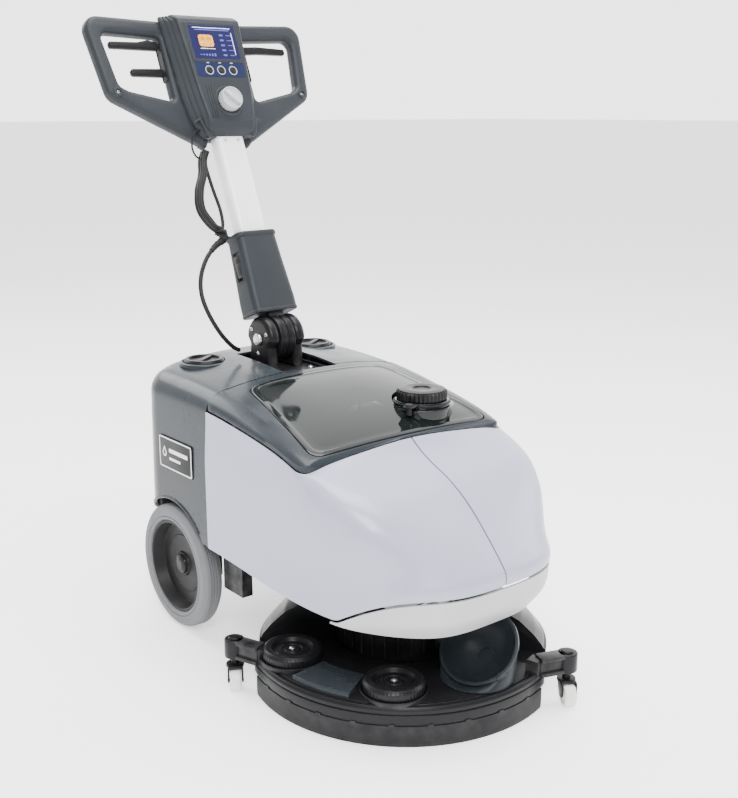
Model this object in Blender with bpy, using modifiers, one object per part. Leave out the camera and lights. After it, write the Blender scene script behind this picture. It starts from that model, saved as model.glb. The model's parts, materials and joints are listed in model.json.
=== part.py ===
"""A compact walk-behind floor scrubber with a turning brush deck, as separate parts.

Metres, +Z up, the nose towards -Y, the floor at z = 0. The origin is the middle of the
footprint. Every part is laid out from the wheel axle, which lies on the empty 'machine'.
Parts on the mast are laid out along it, with z up the mast and -y out of the console.
"""
import math

import bmesh
import bpy
import numpy as np
from mathutils import Matrix, Vector

# ---- driving dimensions ----------------------------------------------------------------
CENTRE_X, AXLE_Y = 0.0180, 0.1832      # where the axle's middle stands from the origin
GAP = 0.0003                           # clearance of touching parts
SEAM = 0.0014                          # half a parting groove between mouldings

WHEEL_R, TYRE_WIDTH, WHEEL_FACE_X = 0.100, 0.036, 0.194
HUB_R, AXLE_R = 0.0746, 0.006

BODY_HALF, REAR_Y, PARTING_Y = 0.190, 0.103, -0.110
REAR_CORNER, HOUSING_EDGE = 0.060, 0.372
WALL = 0.0032
COWL_LOW, COWL_HIGH = 0.165, 0.376     # the cowl's bottom and top edge at the parting line
TOP_SHORT = 0.241                      # from the parting line to the top's front lip
TOP_HALF, TOP_POWER = 0.186, 22         # half the width of the cowl's top edge, its squareness
TOP_HEIGHT, TOP_FALL, CROWN, CREST_X, SHOULDER = 0.422, 0.065, 0.012, 0.150, 0.040
NOSE = ((-0.351, 0.356), (-0.392, 0.335), (-0.433, 0.314), (-0.473, 0.285),
        (-0.512, 0.247), (-0.537, 0.219), (-0.541, 0.209), (-0.540, 0.199))
CHIN = ((-0.540, 0.1965), (-0.536, 0.166), (-0.517, 0.139))
LID_MIDDLE_Y, LID_HALF_X, LID_HALF_Y = -0.236, 0.146, 0.1065
LID_SPREAD, LID_POWER = 0.018, 14       # how much wider at the front, the outline's squareness
LID_POINTS = 36
FILL_X, FILL_Y, FILL_R = 0.079, -0.284, 0.038
PORT_X, PORT_Y, PORT_R = 0.106, 0.028, 0.0325

MAST_Y, MAST_Z, MAST_TILT = -0.020, 0.450, math.radians(23.3)
KNUCKLE_R, KNUCKLE_HALF, EAR_OUT, PIN_R = 0.036, 0.0135, 0.034, 0.006
TUBE_W, TUBE_D, TUBE_LOW, TUBE_HIGH = 0.052, 0.030, 0.060, 0.400
SLEEVE_LOW, SLEEVE_HIGH = 0.0385, 0.172
GRIP_Y, GRIP_HALF = 0.010, 0.012        # the middle plane of the handle loops, half their depth
CONSOLE_FACE = 0.034
LENS_Z, BUTTON_Z, KNOB_Z = 0.485, 0.437, 0.386

DECK_Y, DECK_TURN = -0.336, math.radians(-44)
DECK_R, BAND_R, PAD_R = 0.211, 0.2256, 0.185
LEDGE_R, LEDGE_Z, PLATE_TOP = 0.095, 0.048, 0.056
BAND_HALF_ANGLE, POCKET_HALF_ANGLE = math.radians(64), math.radians(80)
CASTER_R, CASTER_ANGLE, CASTER_WHEEL_R, CASTER_TRAIL = 0.249, math.radians(70), 0.0165, 0.010
CLAMP_R, CLAMP_AT, CLAMP_ANGLES = 0.0425, 0.179, (0, 56)
DUCT_AT, DUCT_ANGLE, DUCT_HEIGHT, DUCT_TILT = 0.168, -41, 0.1005, math.radians(47)
ARM_MIDDLE, ARM_HEIGHT = 0.0625, 0.0275
BASE_LOW, BASE_HIGH = 0.142, 0.150

COLOURS = {
    "housing_plastic": ((0.085, 0.105, 0.125), 0.42, 0.0),
    "cowl_plastic": ((0.50, 0.53, 0.60), 0.38, 0.0),
    "chin_plastic": ((0.46, 0.48, 0.50), 0.42, 0.0),
    "lid_plastic": ((0.020, 0.024, 0.026), 0.12, 0.0),
    "black_plastic": ((0.022, 0.023, 0.025), 0.45, 0.0),
    "handle_plastic": ((0.075, 0.082, 0.090), 0.50, 0.0),
    "grey_plastic": ((0.42, 0.44, 0.46), 0.45, 0.0),
    "white_paint": ((0.80, 0.81, 0.82), 0.30, 0.0),
    "frame_paint": ((0.030, 0.030, 0.032), 0.50, 0.3),
    "steel": ((0.60, 0.60, 0.60), 0.30, 1.0),
    "tyre_rubber": ((0.16, 0.16, 0.165), 0.80, 0.0),
    "black_rubber": ((0.018, 0.018, 0.018), 0.70, 0.0),
    "hub_plastic": ((0.055, 0.052, 0.050), 0.55, 0.0),
    "display_glass": ((0.10, 0.09, 0.28), 0.10, 0.0),
    "duct_plastic": ((0.095, 0.105, 0.115), 0.45, 0.0),
    "pad_fibre": ((0.30, 0.03, 0.03), 0.95, 0.0),
    "caster_plastic": ((0.72, 0.73, 0.70), 0.40, 0.0),
    "tank_plastic": ((0.55, 0.58, 0.60), 0.45, 0.0),
}


# ---- the scene and its helpers ---------------------------------------------------------
def clear_scene():
    for obj in list(bpy.data.objects):
        bpy.data.objects.remove(obj, do_unlink=True)


def new_collection(name):
    collection = bpy.data.collections.new(name)
    bpy.context.scene.collection.children.link(collection)
    return collection


def make_materials():
    made = {}
    for name, (rgb, roughness, metallic) in COLOURS.items():
        material = bpy.data.materials.new(name)
        material.use_nodes = True
        shader = material.node_tree.nodes["Principled BSDF"]
        shader.inputs["Base Color"].default_value = (*rgb, 1)
        shader.inputs["Roughness"].default_value = roughness
        shader.inputs["Metallic"].default_value = metallic
        made[name] = material
    return made


clear_scene()
PARTS = new_collection("floor_scrubber")
CUTTERS = new_collection("cutters")
MATERIALS = make_materials()


def empty(name, parent=None, location=(0, 0, 0), rotation=(0, 0, 0)):
    obj = bpy.data.objects.new(name, None)
    obj.location, obj.rotation_euler, obj.parent = location, rotation, parent
    PARTS.objects.link(obj)
    return obj


def add(name, data, parent, material, location=(0, 0, 0), rotation=(0, 0, 0)):
    obj = bpy.data.objects.new(name, data)
    obj.location, obj.rotation_euler, obj.parent = location, rotation, parent
    PARTS.objects.link(obj)
    data.materials.append(MATERIALS[material])
    if isinstance(data, bpy.types.Mesh):
        data.shade_smooth()
        data.set_sharp_from_angle(angle=math.radians(35))
    return obj


def mesh_from(bm, name):
    bmesh.ops.recalc_face_normals(bm, faces=bm.faces)
    mesh = bpy.data.meshes.new(name)
    bm.to_mesh(mesh)
    bm.free()
    return mesh


def box_mesh(name, size, centre):
    bm = bmesh.new()
    bmesh.ops.create_cube(bm, size=1)
    bmesh.ops.scale(bm, vec=size, verts=bm.verts)
    bmesh.ops.translate(bm, vec=centre, verts=bm.verts)
    return mesh_from(bm, name)


def span_box(name, low, high, parent, material, bevel=0.0, segments=1):
    """A box from its low corner to its high corner, with its edges rounded."""
    size = [h - l for l, h in zip(low, high)]
    centre = [(h + l) / 2 for l, h in zip(low, high)]
    obj = add(name, box_mesh(name, size, centre), parent, material)
    if bevel:
        soften(obj, bevel, segments)
    return obj


def soften(obj, width, segments=1):
    modifier = obj.modifiers.new("edges", "BEVEL")
    modifier.width, modifier.segments = width, segments
    modifier.limit_method, modifier.angle_limit = "ANGLE", math.radians(40)
    modifier.use_clamp_overlap = True


def cylinder_mesh(name, radius, length, segments=24):
    """A cylinder along z, centred."""
    bm = bmesh.new()
    bmesh.ops.create_cone(bm, cap_ends=True, segments=segments, radius1=radius,
                          radius2=radius, depth=length)
    return mesh_from(bm, name)


def turned(name, profile, parent, material, location=(0, 0, 0), rotation=(0, 0, 0), steps=20):
    """A profile of (radius, height), outer side downwards, turned about z."""
    mesh = bpy.data.meshes.new(name)
    points = [(r, 0, z) for r, z in profile]
    edges = [(i, i + 1) for i in range(len(points) - 1)]
    if profile[0][0] > 0:
        edges.append((len(points) - 1, 0))
    mesh.from_pydata(points, edges, [])
    obj = add(name, mesh, parent, material, location, rotation)
    screw = obj.modifiers.new("turn", "SCREW")
    screw.axis, screw.angle = "Z", math.tau
    screw.steps = screw.render_steps = steps
    screw.use_merge_vertices, screw.merge_threshold = True, 1e-5
    screw.use_smooth_shade = True
    return obj


def along_x(sign=1):
    """The rotation that lays z along +x or -x."""
    return (0, sign * math.pi / 2, 0)


def plate(name, outlines, thickness, parent, material, location=(0, 0, 0),
          rotation=(0, 0, 0), edge=0.0):
    """Flat outlines, holes included, with a thickness along z and rounded edges."""
    curve = bpy.data.curves.new(name, "CURVE")
    curve.dimensions, curve.fill_mode = "2D", "BOTH"
    curve.extrude, curve.bevel_depth, curve.bevel_resolution = thickness / 2 - edge, edge, 1
    curve.offset = -edge
    for outline in outlines:
        spline = curve.splines.new("POLY")
        spline.points.add(len(outline) - 1)
        for point, (x, y) in zip(spline.points, outline):
            point.co = (x, y, 0, 1)
        spline.use_cyclic_u = True
    return add(name, curve, parent, material, location, rotation)


def tube(name, points, radius, parent, material, resolution=2):
    curve = bpy.data.curves.new(name, "CURVE")
    curve.dimensions = "3D"
    curve.bevel_depth, curve.bevel_resolution, curve.use_fill_caps = radius, resolution, True
    spline = curve.splines.new("POLY")
    spline.points.add(len(points) - 1)
    for point, co in zip(spline.points, points):
        point.co = (*co, 1)
    return add(name, curve, parent, material)


def as_mesh(obj):
    """A curve turned into a mesh object with welded caps, ready for a Boolean."""
    bpy.context.view_layer.update()
    graph = bpy.context.evaluated_depsgraph_get()
    mesh = bpy.data.meshes.new_from_object(obj.evaluated_get(graph))
    bm = bmesh.new()
    bm.from_mesh(mesh)
    bmesh.ops.remove_doubles(bm, verts=bm.verts, dist=1e-6)
    bmesh.ops.recalc_face_normals(bm, faces=bm.faces)
    bm.to_mesh(mesh)
    bm.free()
    made = bpy.data.objects.new("made", mesh)
    made.parent, made.matrix_world = obj.parent, obj.matrix_world
    PARTS.objects.link(made)
    name = obj.name
    bpy.data.objects.remove(obj, do_unlink=True)
    made.name = name
    return made


def as_cutter(obj):
    for collection in list(obj.users_collection):
        collection.objects.unlink(obj)
    CUTTERS.objects.link(obj)
    obj.hide_render, obj.display_type = True, "WIRE"
    return obj


def boolean(obj, other, operation):
    modifier = obj.modifiers.new(operation.lower(), "BOOLEAN")
    modifier.operation, modifier.solver, modifier.object = operation, "EXACT", as_cutter(other)
    return obj


def cut_box(obj, low, high, parent):
    cutter = span_box(obj.name + "_box_cutter", low, high, parent, "steel")
    return boolean(obj, cutter, "DIFFERENCE")


def cut_round(obj, radius, length, parent, location, rotation=(0, 0, 0), segments=24):
    mesh = cylinder_mesh(obj.name + "_bore", radius, length, segments)
    return boolean(obj, add(mesh.name, mesh, parent, "steel", location, rotation), "DIFFERENCE")


def spun(name, profile, half_angle, steps, parent, material, middle=0.0):
    """A closed profile of (radius, height) swept about z, both ways from -y."""
    bm = bmesh.new()
    turn = Matrix.Rotation(middle - half_angle - math.pi / 2, 3, "Z")
    verts = [bm.verts.new(turn @ Vector((r, 0, z))) for r, z in profile]
    face = bm.faces.new(verts)
    bmesh.ops.spin(bm, geom=[face, *face.edges, *verts], cent=(0, 0, 0), axis=(0, 0, 1),
                   angle=2 * half_angle, steps=steps, use_duplicate=False)
    return add(name, mesh_from(bm, name), parent, material)


def loft(name, sections, parent, material, ring=False):
    """A skin over closed loops of equal counts: capped at both ends, or run into a ring."""
    bm = bmesh.new()
    loops = [[bm.verts.new(p) for p in section] for section in sections]
    for lower, upper in zip(loops, loops[1:] + loops[:1] if ring else loops[1:]):
        for i in range(len(lower)):
            j = (i + 1) % len(lower)
            bm.faces.new((lower[i], lower[j], upper[j], upper[i]))
    if not ring:
        bm.faces.new(loops[0])
        bm.faces.new(loops[-1])
    return add(name, mesh_from(bm, name), parent, material)


def sheet(name, rows, parent, material, outward=1):
    """A grid of points as a moulded wall: Solidify thickens it inwards."""
    bm = bmesh.new()
    grid = [[bm.verts.new(p) for p in row] for row in rows]
    for low, high in zip(grid, grid[1:]):
        for i in range(len(low) - 1):
            quad = (low[i], low[i + 1], high[i + 1], high[i])
            bm.faces.new(quad if outward > 0 else quad[::-1])
    mesh = bpy.data.meshes.new(name)
    bm.to_mesh(mesh)
    bm.free()
    obj = add(name, mesh, parent, material)
    wall = obj.modifiers.new("wall", "SOLIDIFY")
    wall.thickness, wall.offset, wall.use_even_offset = WALL, -1, False
    return obj


def rounded(corners, points=3):
    """An outline from (x, y, radius) corners, each drawn as an arc."""
    outline = []
    count = len(corners)
    for i, (x, y, radius) in enumerate(corners):
        here = Vector((x, y))
        if radius <= 0:
            outline.append(tuple(here))
            continue
        before = (Vector(corners[i - 1][:2]) - here).normalized()
        after = (Vector(corners[(i + 1) % count][:2]) - here).normalized()
        half = before.angle(after) / 2
        reach = radius / math.tan(half)
        start, end = here + before * reach, here + after * reach
        centre = here + (before + after).normalized() * (radius / math.sin(half))
        a, b = start - centre, end - centre
        swing = math.atan2(a.x * b.y - a.y * b.x, a.dot(b))
        for k in range(points + 1):
            outline.append(tuple(centre + Matrix.Rotation(swing * k / points, 2) @ a))
    return outline


def mirrored(half):
    """A closed outline from its right half, which runs from the top to the bottom."""
    left = [(-x, y) for x, y in reversed(half) if abs(x) > 1e-6]
    return list(half) + left


def circle(radius, count, centre=(0, 0), phase=0.0):
    return [(centre[0] + radius * math.cos(phase + math.tau * i / count),
             centre[1] + radius * math.sin(phase + math.tau * i / count)) for i in range(count)]


def polar(radius, angle, height=0.0):
    """A point on the deck, its angle counted from the deck's front towards -x."""
    return Vector((-radius * math.sin(angle), -radius * math.cos(angle), height))


# ---- the body's surface ----------------------------------------------------------------
def even(points, count):
    """Points spaced evenly along a dense polyline."""
    points = np.asarray(points, float)
    run = np.r_[0, np.cumsum(np.linalg.norm(np.diff(points, axis=0), axis=1))]
    at = np.linspace(0, run[-1], count)
    return np.stack([np.interp(at, run, points[:, k]) for k in range(points.shape[1])], 1)


def quarter(half_width, length, power, count):
    """A superellipse quarter, from the side (half_width, 0) to the nose (0, length)."""
    angle = np.linspace(0, math.pi / 2, 400)
    x = half_width * np.cos(angle) ** (2 / power)
    y = length * np.sin(angle) ** (2 / power)
    x[-1], y[0] = 0, 0
    return even(np.stack([x, y], 1), count)


def smooth(t):
    t = np.clip(t, 0, 1)
    return t * t * (3 - 2 * t)


def top_height(x, y):
    """The height of the machine's gently crowned top."""
    run = np.clip((0.040 - y) / 0.391, 0, 1.05)
    crown = CROWN - 0.007 * smooth((run - 0.6) / 0.4)
    return TOP_HEIGHT - TOP_FALL * run ** 2.5 - crown * np.clip(abs(x) / CREST_X, 0, 1) ** 2.4



def edge_height(x, y):
    """The height of the cowl's top edge, from the parting line to the front centre."""
    reach = np.clip((PARTING_Y - y) / TOP_SHORT, 0, 1)
    corner = 0.016 * (reach * abs(x) / TOP_HALF) ** 8
    return COWL_HIGH - 0.031 * reach ** 1.3 + 0.011 * smooth(1 - abs(x) / 0.18) - corner


def rolled_height(x, y, low, inset):
    """The top, rolled over at the shoulder, at a distance in from the side."""
    roll = math.sqrt(max(0, 1 - (1 - min(inset / SHOULDER, 1)) ** 2))
    return low + (float(top_height(x, y)) - low) * roll


def skin_height(x, y):
    """The surface of the tray and the lid, which rolls over towards the cowl's edge."""
    front = y - PARTING_Y + TOP_SHORT
    low = float(edge_height(x, y)) - 0.004
    return rolled_height(x, y, low, max(0, min(BODY_HALF - abs(x), 5 * front)))


def cowl_row(level, count):
    """One level of the cowl, 0 at its bottom and 1 at its top, from the side to the nose."""
    nose = even(np.array(NOSE)[::-1], 60)
    nose_y, nose_z = nose[int(round(level * 59))]
    half = BODY_HALF - (BODY_HALF - TOP_HALF) * smooth((level - 0.6) / 0.4)
    length = PARTING_Y - nose_y
    outline = quarter(half, length, 3.2 + (TOP_POWER - 3.2) * level ** 2.3, count)
    reach = outline[:, 1] / length
    low = COWL_LOW - 0.017 * smooth(outline[:, 1] / 0.30)
    top = edge_height(*quarter(TOP_HALF, TOP_SHORT, TOP_POWER, count).T * [[1], [-1]] + [[0], [PARTING_Y]])
    side = low + (top - low) * level
    sweep = np.sin(math.pi / 2 * np.clip((reach - 0.68) / 0.30, 0, 1))
    blend = reach ** 5 + (sweep - reach ** 5) * (1 - level) ** 3
    height = side + (nose_z - side) * blend * (1 - level ** 6)
    return [(x, PARTING_Y - s, z) for (x, s), z in zip(outline, height)]


def cowl_half(name, sign, parent):
    rows = [[(sign * max(x, SEAM / 2), min(y, PARTING_Y - SEAM), z - (level > 0.99) * SEAM / 2)
             for x, y, z in cowl_row(level, 17)] for level in np.linspace(0, 1, 8)]
    return sheet(name, rows, parent, "cowl_plastic", outward=sign)


def chin_row(step, count):
    """One row of the chin, 0 under the cowl and 1 at its bottom, over the whole front."""
    profile = even(np.array(CHIN), 21)
    chin_y, chin_z = profile[int(round(step * 20))]
    half = even(np.array(cowl_row(0, 60))[31:], count)
    along = np.linspace(0, 1, count)
    share = (CHIN[0][1] - chin_z) / (CHIN[0][1] - CHIN[-1][1])
    foot = 0.142 - 0.004 * smooth(along * 1.5)
    inset = (CHIN[0][0] - chin_y) * smooth(along * 1.7)
    middle = Vector((0, -0.30))
    row = []
    for (x, y, z), low, pull in zip(half, foot, inset):
        away = (Vector((x, y)) - middle).normalized() * pull
        row.append((x + away.x, y + away.y, (z - 0.004) * (1 - share) + low * share))
    return row + [(-x, y, z) for x, y, z in row[-2::-1]]


def chin(parent):
    rows = [chin_row(step, 11) for step in (0, 0.5, 1)]
    return sheet("chin", rows[::-1], parent, "chin_plastic", outward=1)


def hood_row(inset, height, count):
    """A row round the back of the body, at a distance in from its outline."""
    half = BODY_HALF - inset
    back = REAR_Y - inset
    corner = max(REAR_CORNER - inset, 0.012)
    arc = [(half - corner + corner * math.cos(a), back - corner + corner * math.sin(a))
           for a in np.linspace(0, math.pi / 2, 12)]
    dense = even([(half, PARTING_Y + SEAM), *arc, (0, back)], count)
    row = [(x, y, height(x, y)) for x, y in dense]
    return row + [(-x, y, z) for x, y, z in row[-2::-1]]


def rear_housing(parent):
    rows = [hood_row(0, lambda x, y: COWL_LOW - 0.030 * smooth(y / REAR_Y), 10)]
    for level in (0.35, 0.7, 1):
        height = 0.16 + (HOUSING_EDGE - 0.16) * level
        rows.append(hood_row(0.003 * level, lambda x, y, height=height: height, 10))
    for inset in (0.0045, 0.009, 0.018, 0.030, 0.043, 0.095, 0.141):
        rows.append(hood_row(inset, lambda x, y, inset=inset: rolled_height(
            x, y, HOUSING_EDGE, inset - 0.003), 10))
    obj = sheet("rear_housing", rows, parent, "housing_plastic", outward=1)
    cut_box(obj, (-0.048, -0.13, 0.36), (0.048, 0.026, 0.46), parent)
    for sign in (-1, 1):
        cut_round(obj, 0.1115, 0.080, parent, (sign * 0.190, 0, WHEEL_R), along_x(), 32)
        cut_round(obj, PORT_R + 0.001, 0.060, parent, (sign * PORT_X, PORT_Y, 0.425))
    return obj


def lid_point(across, back, grow):
    """The point of the lid's outline in a direction, the outline being wider at the front."""
    part = math.hypot(across, back)
    along = math.copysign((abs(back) / part) ** (2 / LID_POWER), back)
    side = math.copysign((abs(across) / part) ** (2 / LID_POWER), across)
    half = LID_HALF_X + grow - LID_SPREAD * along
    return (-half * side, LID_MIDDLE_Y + (LID_HALF_Y + grow) * along)


def lid_outline(grow, count):
    """The closed outline of the lid's opening, counted from the back's middle to -x."""
    dense = [lid_point(math.sin(a), math.cos(a), grow) for a in np.linspace(0, math.tau, 800)]
    return [tuple(p) for p in even(dense, count + 1)[:-1]]


def tray_outline(count):
    """The closed outline of the tray round the lid, in step with lid_outline."""
    front = quarter(TOP_HALF - 0.0006, TOP_SHORT - 0.0006, TOP_POWER, 200)
    back = PARTING_Y - SEAM
    left = [(-x, min(PARTING_Y - s, back)) for x, s in front]
    ring = [(0.0, back), *left, *[(-x, y) for x, y in left[-2::-1]], (0.0, back)]
    return [tuple(p) for p in even(ring, count + 1)[:-1]]


def tray_rows(count):
    """The tray's section, as rings: its band, roll and land, the lid's well, and the inside."""
    wall, well = 0.0024, 0.009
    outer = tray_outline(count)
    inner = []
    for x, y in outer:
        across, back = -x / TOP_HALF, (y - PARTING_Y + TOP_SHORT / 2) / (TOP_SHORT / 2)
        bent = [math.copysign(abs(v) ** (LID_POWER / 2), v) for v in (across, back)]
        inner.append(lid_point(*bent, 0.0012))

    def ring(place, height):
        row = []
        for (x0, y0), (x1, y1) in zip(outer, inner):
            part = place(math.hypot(x1 - x0, y1 - y0))
            x, y = x0 + (x1 - x0) * part, y0 + (y1 - y0) * part
            edge = float(edge_height(x0, y0)) + SEAM
            skin = max(edge + 0.0012, skin_height(x, y))
            low = max(edge, skin - 0.010) if y0 > PARTING_Y - 2 * SEAM else edge
            row.append((x, y, height(low, skin)))
        return row

    rows = [ring(lambda span: 0, lambda low, skin: low)]
    for part in (0.02, 0.10, 0.27, 0.58, 1):
        rows.append(ring(lambda span, part=part: part, lambda low, skin: skin))
    rows.append(ring(lambda span: 1, lambda low, skin: skin - well))
    rows.append(ring(lambda span: 1 - wall / span, lambda low, skin: skin - well))
    rows.append(ring(lambda span: 1 - wall / span, lambda low, skin: skin - wall))
    rows.append(ring(lambda span: 0.5, lambda low, skin: skin - wall))
    rows.append(ring(lambda span: wall / span, lambda low, skin: low))
    return rows


def top_tray(parent):
    obj = loft("top_tray", tray_rows(52), parent, "housing_plastic", ring=True)
    return cut_box(obj, (-0.048, -0.1165, 0.36), (0.048, -0.09, 0.46), parent)


def lid(parent):
    """The smoked cover: rings of its outline, over its inside, round its edge and its top."""
    rings = []
    for scale, drop in ((0.36, 0.003), (0.72, 0.003), (0.965, 0.003), (0.975, 0.007), (1, 0.007),
                        (1, 0.001), (0.985, 0), (0.72, 0), (0.36, 0)):
        ring = [(x * scale, LID_MIDDLE_Y + (y - LID_MIDDLE_Y) * scale)
                for x, y in lid_outline(0, LID_POINTS)]
        rings.append([(x, y, skin_height(x, y) + 0.0005 - drop) for x, y in ring])
    return loft("lid", rings, parent, "lid_plastic")


# ---- wheels ----------------------------------------------------------------------------
def rear_wheel(side, sign, machine):
    spin = empty(f"wheel_{side}_axis", machine, (0, 0, WHEEL_R))
    outer, inner = WHEEL_FACE_X, WHEEL_FACE_X - TYRE_WIDTH
    tyre = [(0.0749, outer - 0.003), (0.085, outer), (0.096, outer - 0.003),
            (WHEEL_R, outer - 0.010), (WHEEL_R, inner + 0.010), (0.096, inner + 0.003),
            (0.0749, inner + 0.003)]
    hub = [(HUB_R, outer - 0.004), (HUB_R, inner + 0.004), (0.069, inner + 0.004),
           (0.067, outer - 0.027), (0.020, outer - 0.027), (0.020, inner), (0.0063, inner),
           (0.0063, outer - 0.017), (0.018, outer - 0.018), (0.020, outer - 0.022),
           (0.064, outer - 0.022), (0.070, outer - 0.004)]
    for name, profile, material in (("tyre", tyre, "tyre_rubber"), ("hub", hub, "hub_plastic")):
        if sign < 0:
            profile = [(r, -x) for r, x in profile][::-1]
        turned(f"{name}_{side}", profile, spin, material, rotation=along_x(), steps=28)


def axle(machine):
    mesh = cylinder_mesh("axle", AXLE_R, 2 * (WHEEL_FACE_X - 0.0175), 16)
    add("axle", mesh, machine, "steel", (0, 0, WHEEL_R), along_x())


# ---- frame and the parts inside --------------------------------------------------------
def chassis_frame(machine):
    obj = span_box("chassis_frame", (-0.130, -0.425, BASE_LOW), (0.130, 0.060, BASE_HIGH),
                   machine, "frame_paint")
    post = span_box("post", (-0.029, -0.048, BASE_HIGH - 0.004), (0.029, 0.008, 0.3975), machine,
                    "frame_paint")
    boolean(obj, post, "UNION")
    for sign in (-1, 1):
        x = sorted((sign * 0.129, sign * 0.137))
        cheek = span_box(f"cheek_{sign}", (x[0], -0.045, 0.084), (x[1], 0.045, BASE_HIGH + 0.001),
                         machine, "frame_paint")
        boolean(obj, cheek, "UNION")
        for name, inner, low, high in (("tab", 0.128, BASE_LOW, BASE_HIGH + 0.0003),
                                       ("rail", 0.148, 0.094, BASE_HIGH + 0.0006)):
            x = sorted((sign * inner, sign * 0.166))
            piece = span_box(f"{name}_{sign}", (x[0], -0.162, low), (x[1], -0.110, high), machine,
                             "frame_paint")
            boolean(obj, piece, "UNION")
    cut_round(obj, AXLE_R + GAP, 0.30, machine, (0, 0, WHEEL_R), along_x(), 16)
    return obj


def mast_bracket(machine):
    obj = span_box("mast_bracket", (-0.0474, -0.1160, 0.398), (0.0474, 0.0254, 0.404), machine,
                   "black_plastic")
    for sign in (-1, 1):
        x = sorted((sign * (KNUCKLE_HALF + 0.0006), sign * EAR_OUT))
        low = (x[0], MAST_Y - 0.028, 0.403)
        high = (x[1], MAST_Y + 0.028, MAST_Z)
        boolean(obj, span_box(f"ear_{sign}", low, high, machine, "black_plastic"), "UNION")
        disc = cylinder_mesh(f"ear_disc_{sign}", KNUCKLE_R, x[1] - x[0], 28)
        place = ((x[0] + x[1]) / 2, MAST_Y, MAST_Z)
        boolean(obj, add(disc.name, disc, machine, "black_plastic", place, along_x()), "UNION")
    cut_round(obj, PIN_R + GAP, 0.12, machine, (0, MAST_Y, MAST_Z), along_x(), 16)
    return obj


def hinge_pin(machine):
    head, half = 0.0105, EAR_OUT + GAP
    profile = [(0, half + 0.004), (head, half + 0.004), (head, half), (PIN_R, half),
               (PIN_R, -half), (head, -half), (head, -half - 0.004), (0, -half - 0.004)]
    turned("hinge_pin", profile, machine, "steel", (0, MAST_Y, MAST_Z), along_x(), 16)


def inner_parts(machine):
    span_box("solution_tank", (-0.118, -0.455, 0.153), (0.118, -0.310, 0.245), machine,
             "tank_plastic", 0.020, 2)
    span_box("recovery_tank", (-0.150, -0.318, 0.282), (0.150, -0.125, 0.342), machine,
             "tank_plastic", 0.015, 2)
    for side, sign in (("right", -1), ("left", 1)):
        x = sorted((sign * 0.006, sign * 0.110))
        span_box(f"battery_{side}", (x[0], -0.300, 0.1505), (x[1], -0.120, 0.272), machine,
                 "black_plastic", 0.004)
    span_box("charger", (-0.150, -0.060, 0.215), (-0.050, 0.055, 0.330), machine, "steel", 0.004)
    profile = [(0, 0.045), (0.050, 0.045), (0.050, -0.010), (0.038, -0.045), (0, -0.045)]
    turned("suction_motor", profile, machine, "black_plastic", (0.098, -0.005, 0.275))
    ring = [(0.055, 0.1415), (0.078, 0.1415), (0.078, 0.1155), (0.055, 0.1155)]
    turned("deck_bearing", ring, machine, "steel", (0, DECK_Y, 0), steps=24)


def caps(machine, lid_axis):
    for side, sign in (("right", -1), ("left", 1)):
        top = float(top_height(PORT_X, PORT_Y))
        axis = empty(f"port_{side}_axis", machine, (sign * PORT_X, PORT_Y, top - 0.001))
        profile = [(0, 0.0068), (0.026, 0.0068), (PORT_R - 0.002, 0.0045), (PORT_R, 0.001),
                   (PORT_R, -0.010), (0, -0.010)]
        turned(f"port_cap_{side}", profile, axis, "black_plastic", steps=24)
    base = float(top_height(FILL_X, FILL_Y))
    place = Vector((FILL_X, FILL_Y, base)) - lid_axis.location
    neck = [(0.034, 0.009), (0.0445, 0.009), (0.0445, -0.014), (0.034, -0.014)]
    turned("fill_neck", neck, lid_axis, "lid_plastic", place, steps=28)
    axis = empty("fill_cap_axis", lid_axis, place)
    profile = [(0, 0.0255), (0.029, 0.0255), (0.0345, 0.0240), (FILL_R, 0.0210),
               (FILL_R, 0.0094), (0.0320, 0.0094), (0.0320, -0.003), (0, -0.003)]
    turned("fill_cap", profile, axis, "black_plastic", steps=28)


# ---- mast and handle -------------------------------------------------------------------
def section(width, depth, corner, height, offset=0.0):
    outline = rounded([(-width / 2, -depth / 2, corner), (width / 2, -depth / 2, corner),
                       (width / 2, depth / 2, corner), (-width / 2, depth / 2, corner)], 3)
    return [(x, y + offset, height) for x, y in outline]


def mast_cavity(name, obj, low, high, mast):
    """The rectangular socket that the mast tube slides or sits in."""
    half_w, half_d = TUBE_W / 2 + GAP, TUBE_D / 2 + GAP
    cutter = span_box(name, (-half_w, -half_d, low), (half_w, half_d, high), mast, "steel")
    return boolean(obj, cutter, "DIFFERENCE")


def knuckle(mast):
    disc = cylinder_mesh("knuckle", KNUCKLE_R, 2 * KNUCKLE_HALF, 28)
    obj = add("knuckle", disc, mast, "black_plastic", rotation=along_x())
    neck = span_box("neck", (-KNUCKLE_HALF, -0.018, 0.020), (KNUCKLE_HALF, 0.018,
                    SLEEVE_LOW - GAP), mast, "black_plastic")
    boolean(obj, neck, "UNION")
    cut_round(obj, PIN_R + GAP, 0.06, mast, (0, 0, 0), along_x(), 16)


def sleeve(mast):
    sections = [section(0.082, 0.053, 0.013, SLEEVE_LOW), section(0.083, 0.054, 0.013, 0.060),
                section(0.076, 0.048, 0.012, 0.120), section(0.072, 0.045, 0.011, 0.164),
                section(0.075, 0.048, 0.012, 0.166), section(0.075, 0.048, 0.012, SLEEVE_HIGH)]
    obj = loft("sleeve", sections, mast, "handle_plastic")
    mast_cavity("sleeve_socket", obj, 0.0595, 0.20, mast)
    cut_box(obj, (-0.050, -0.0075, 0.098), (-0.0335, 0.0075, 0.142), mast)
    latch = empty("height_latch_axis", mast, (-0.0338, 0, 0.120))
    span_box("height_latch", (-0.0048, -0.0068, -0.018), (-0.0019, 0.0068, 0.018), latch,
             "black_plastic", 0.0008)


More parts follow.
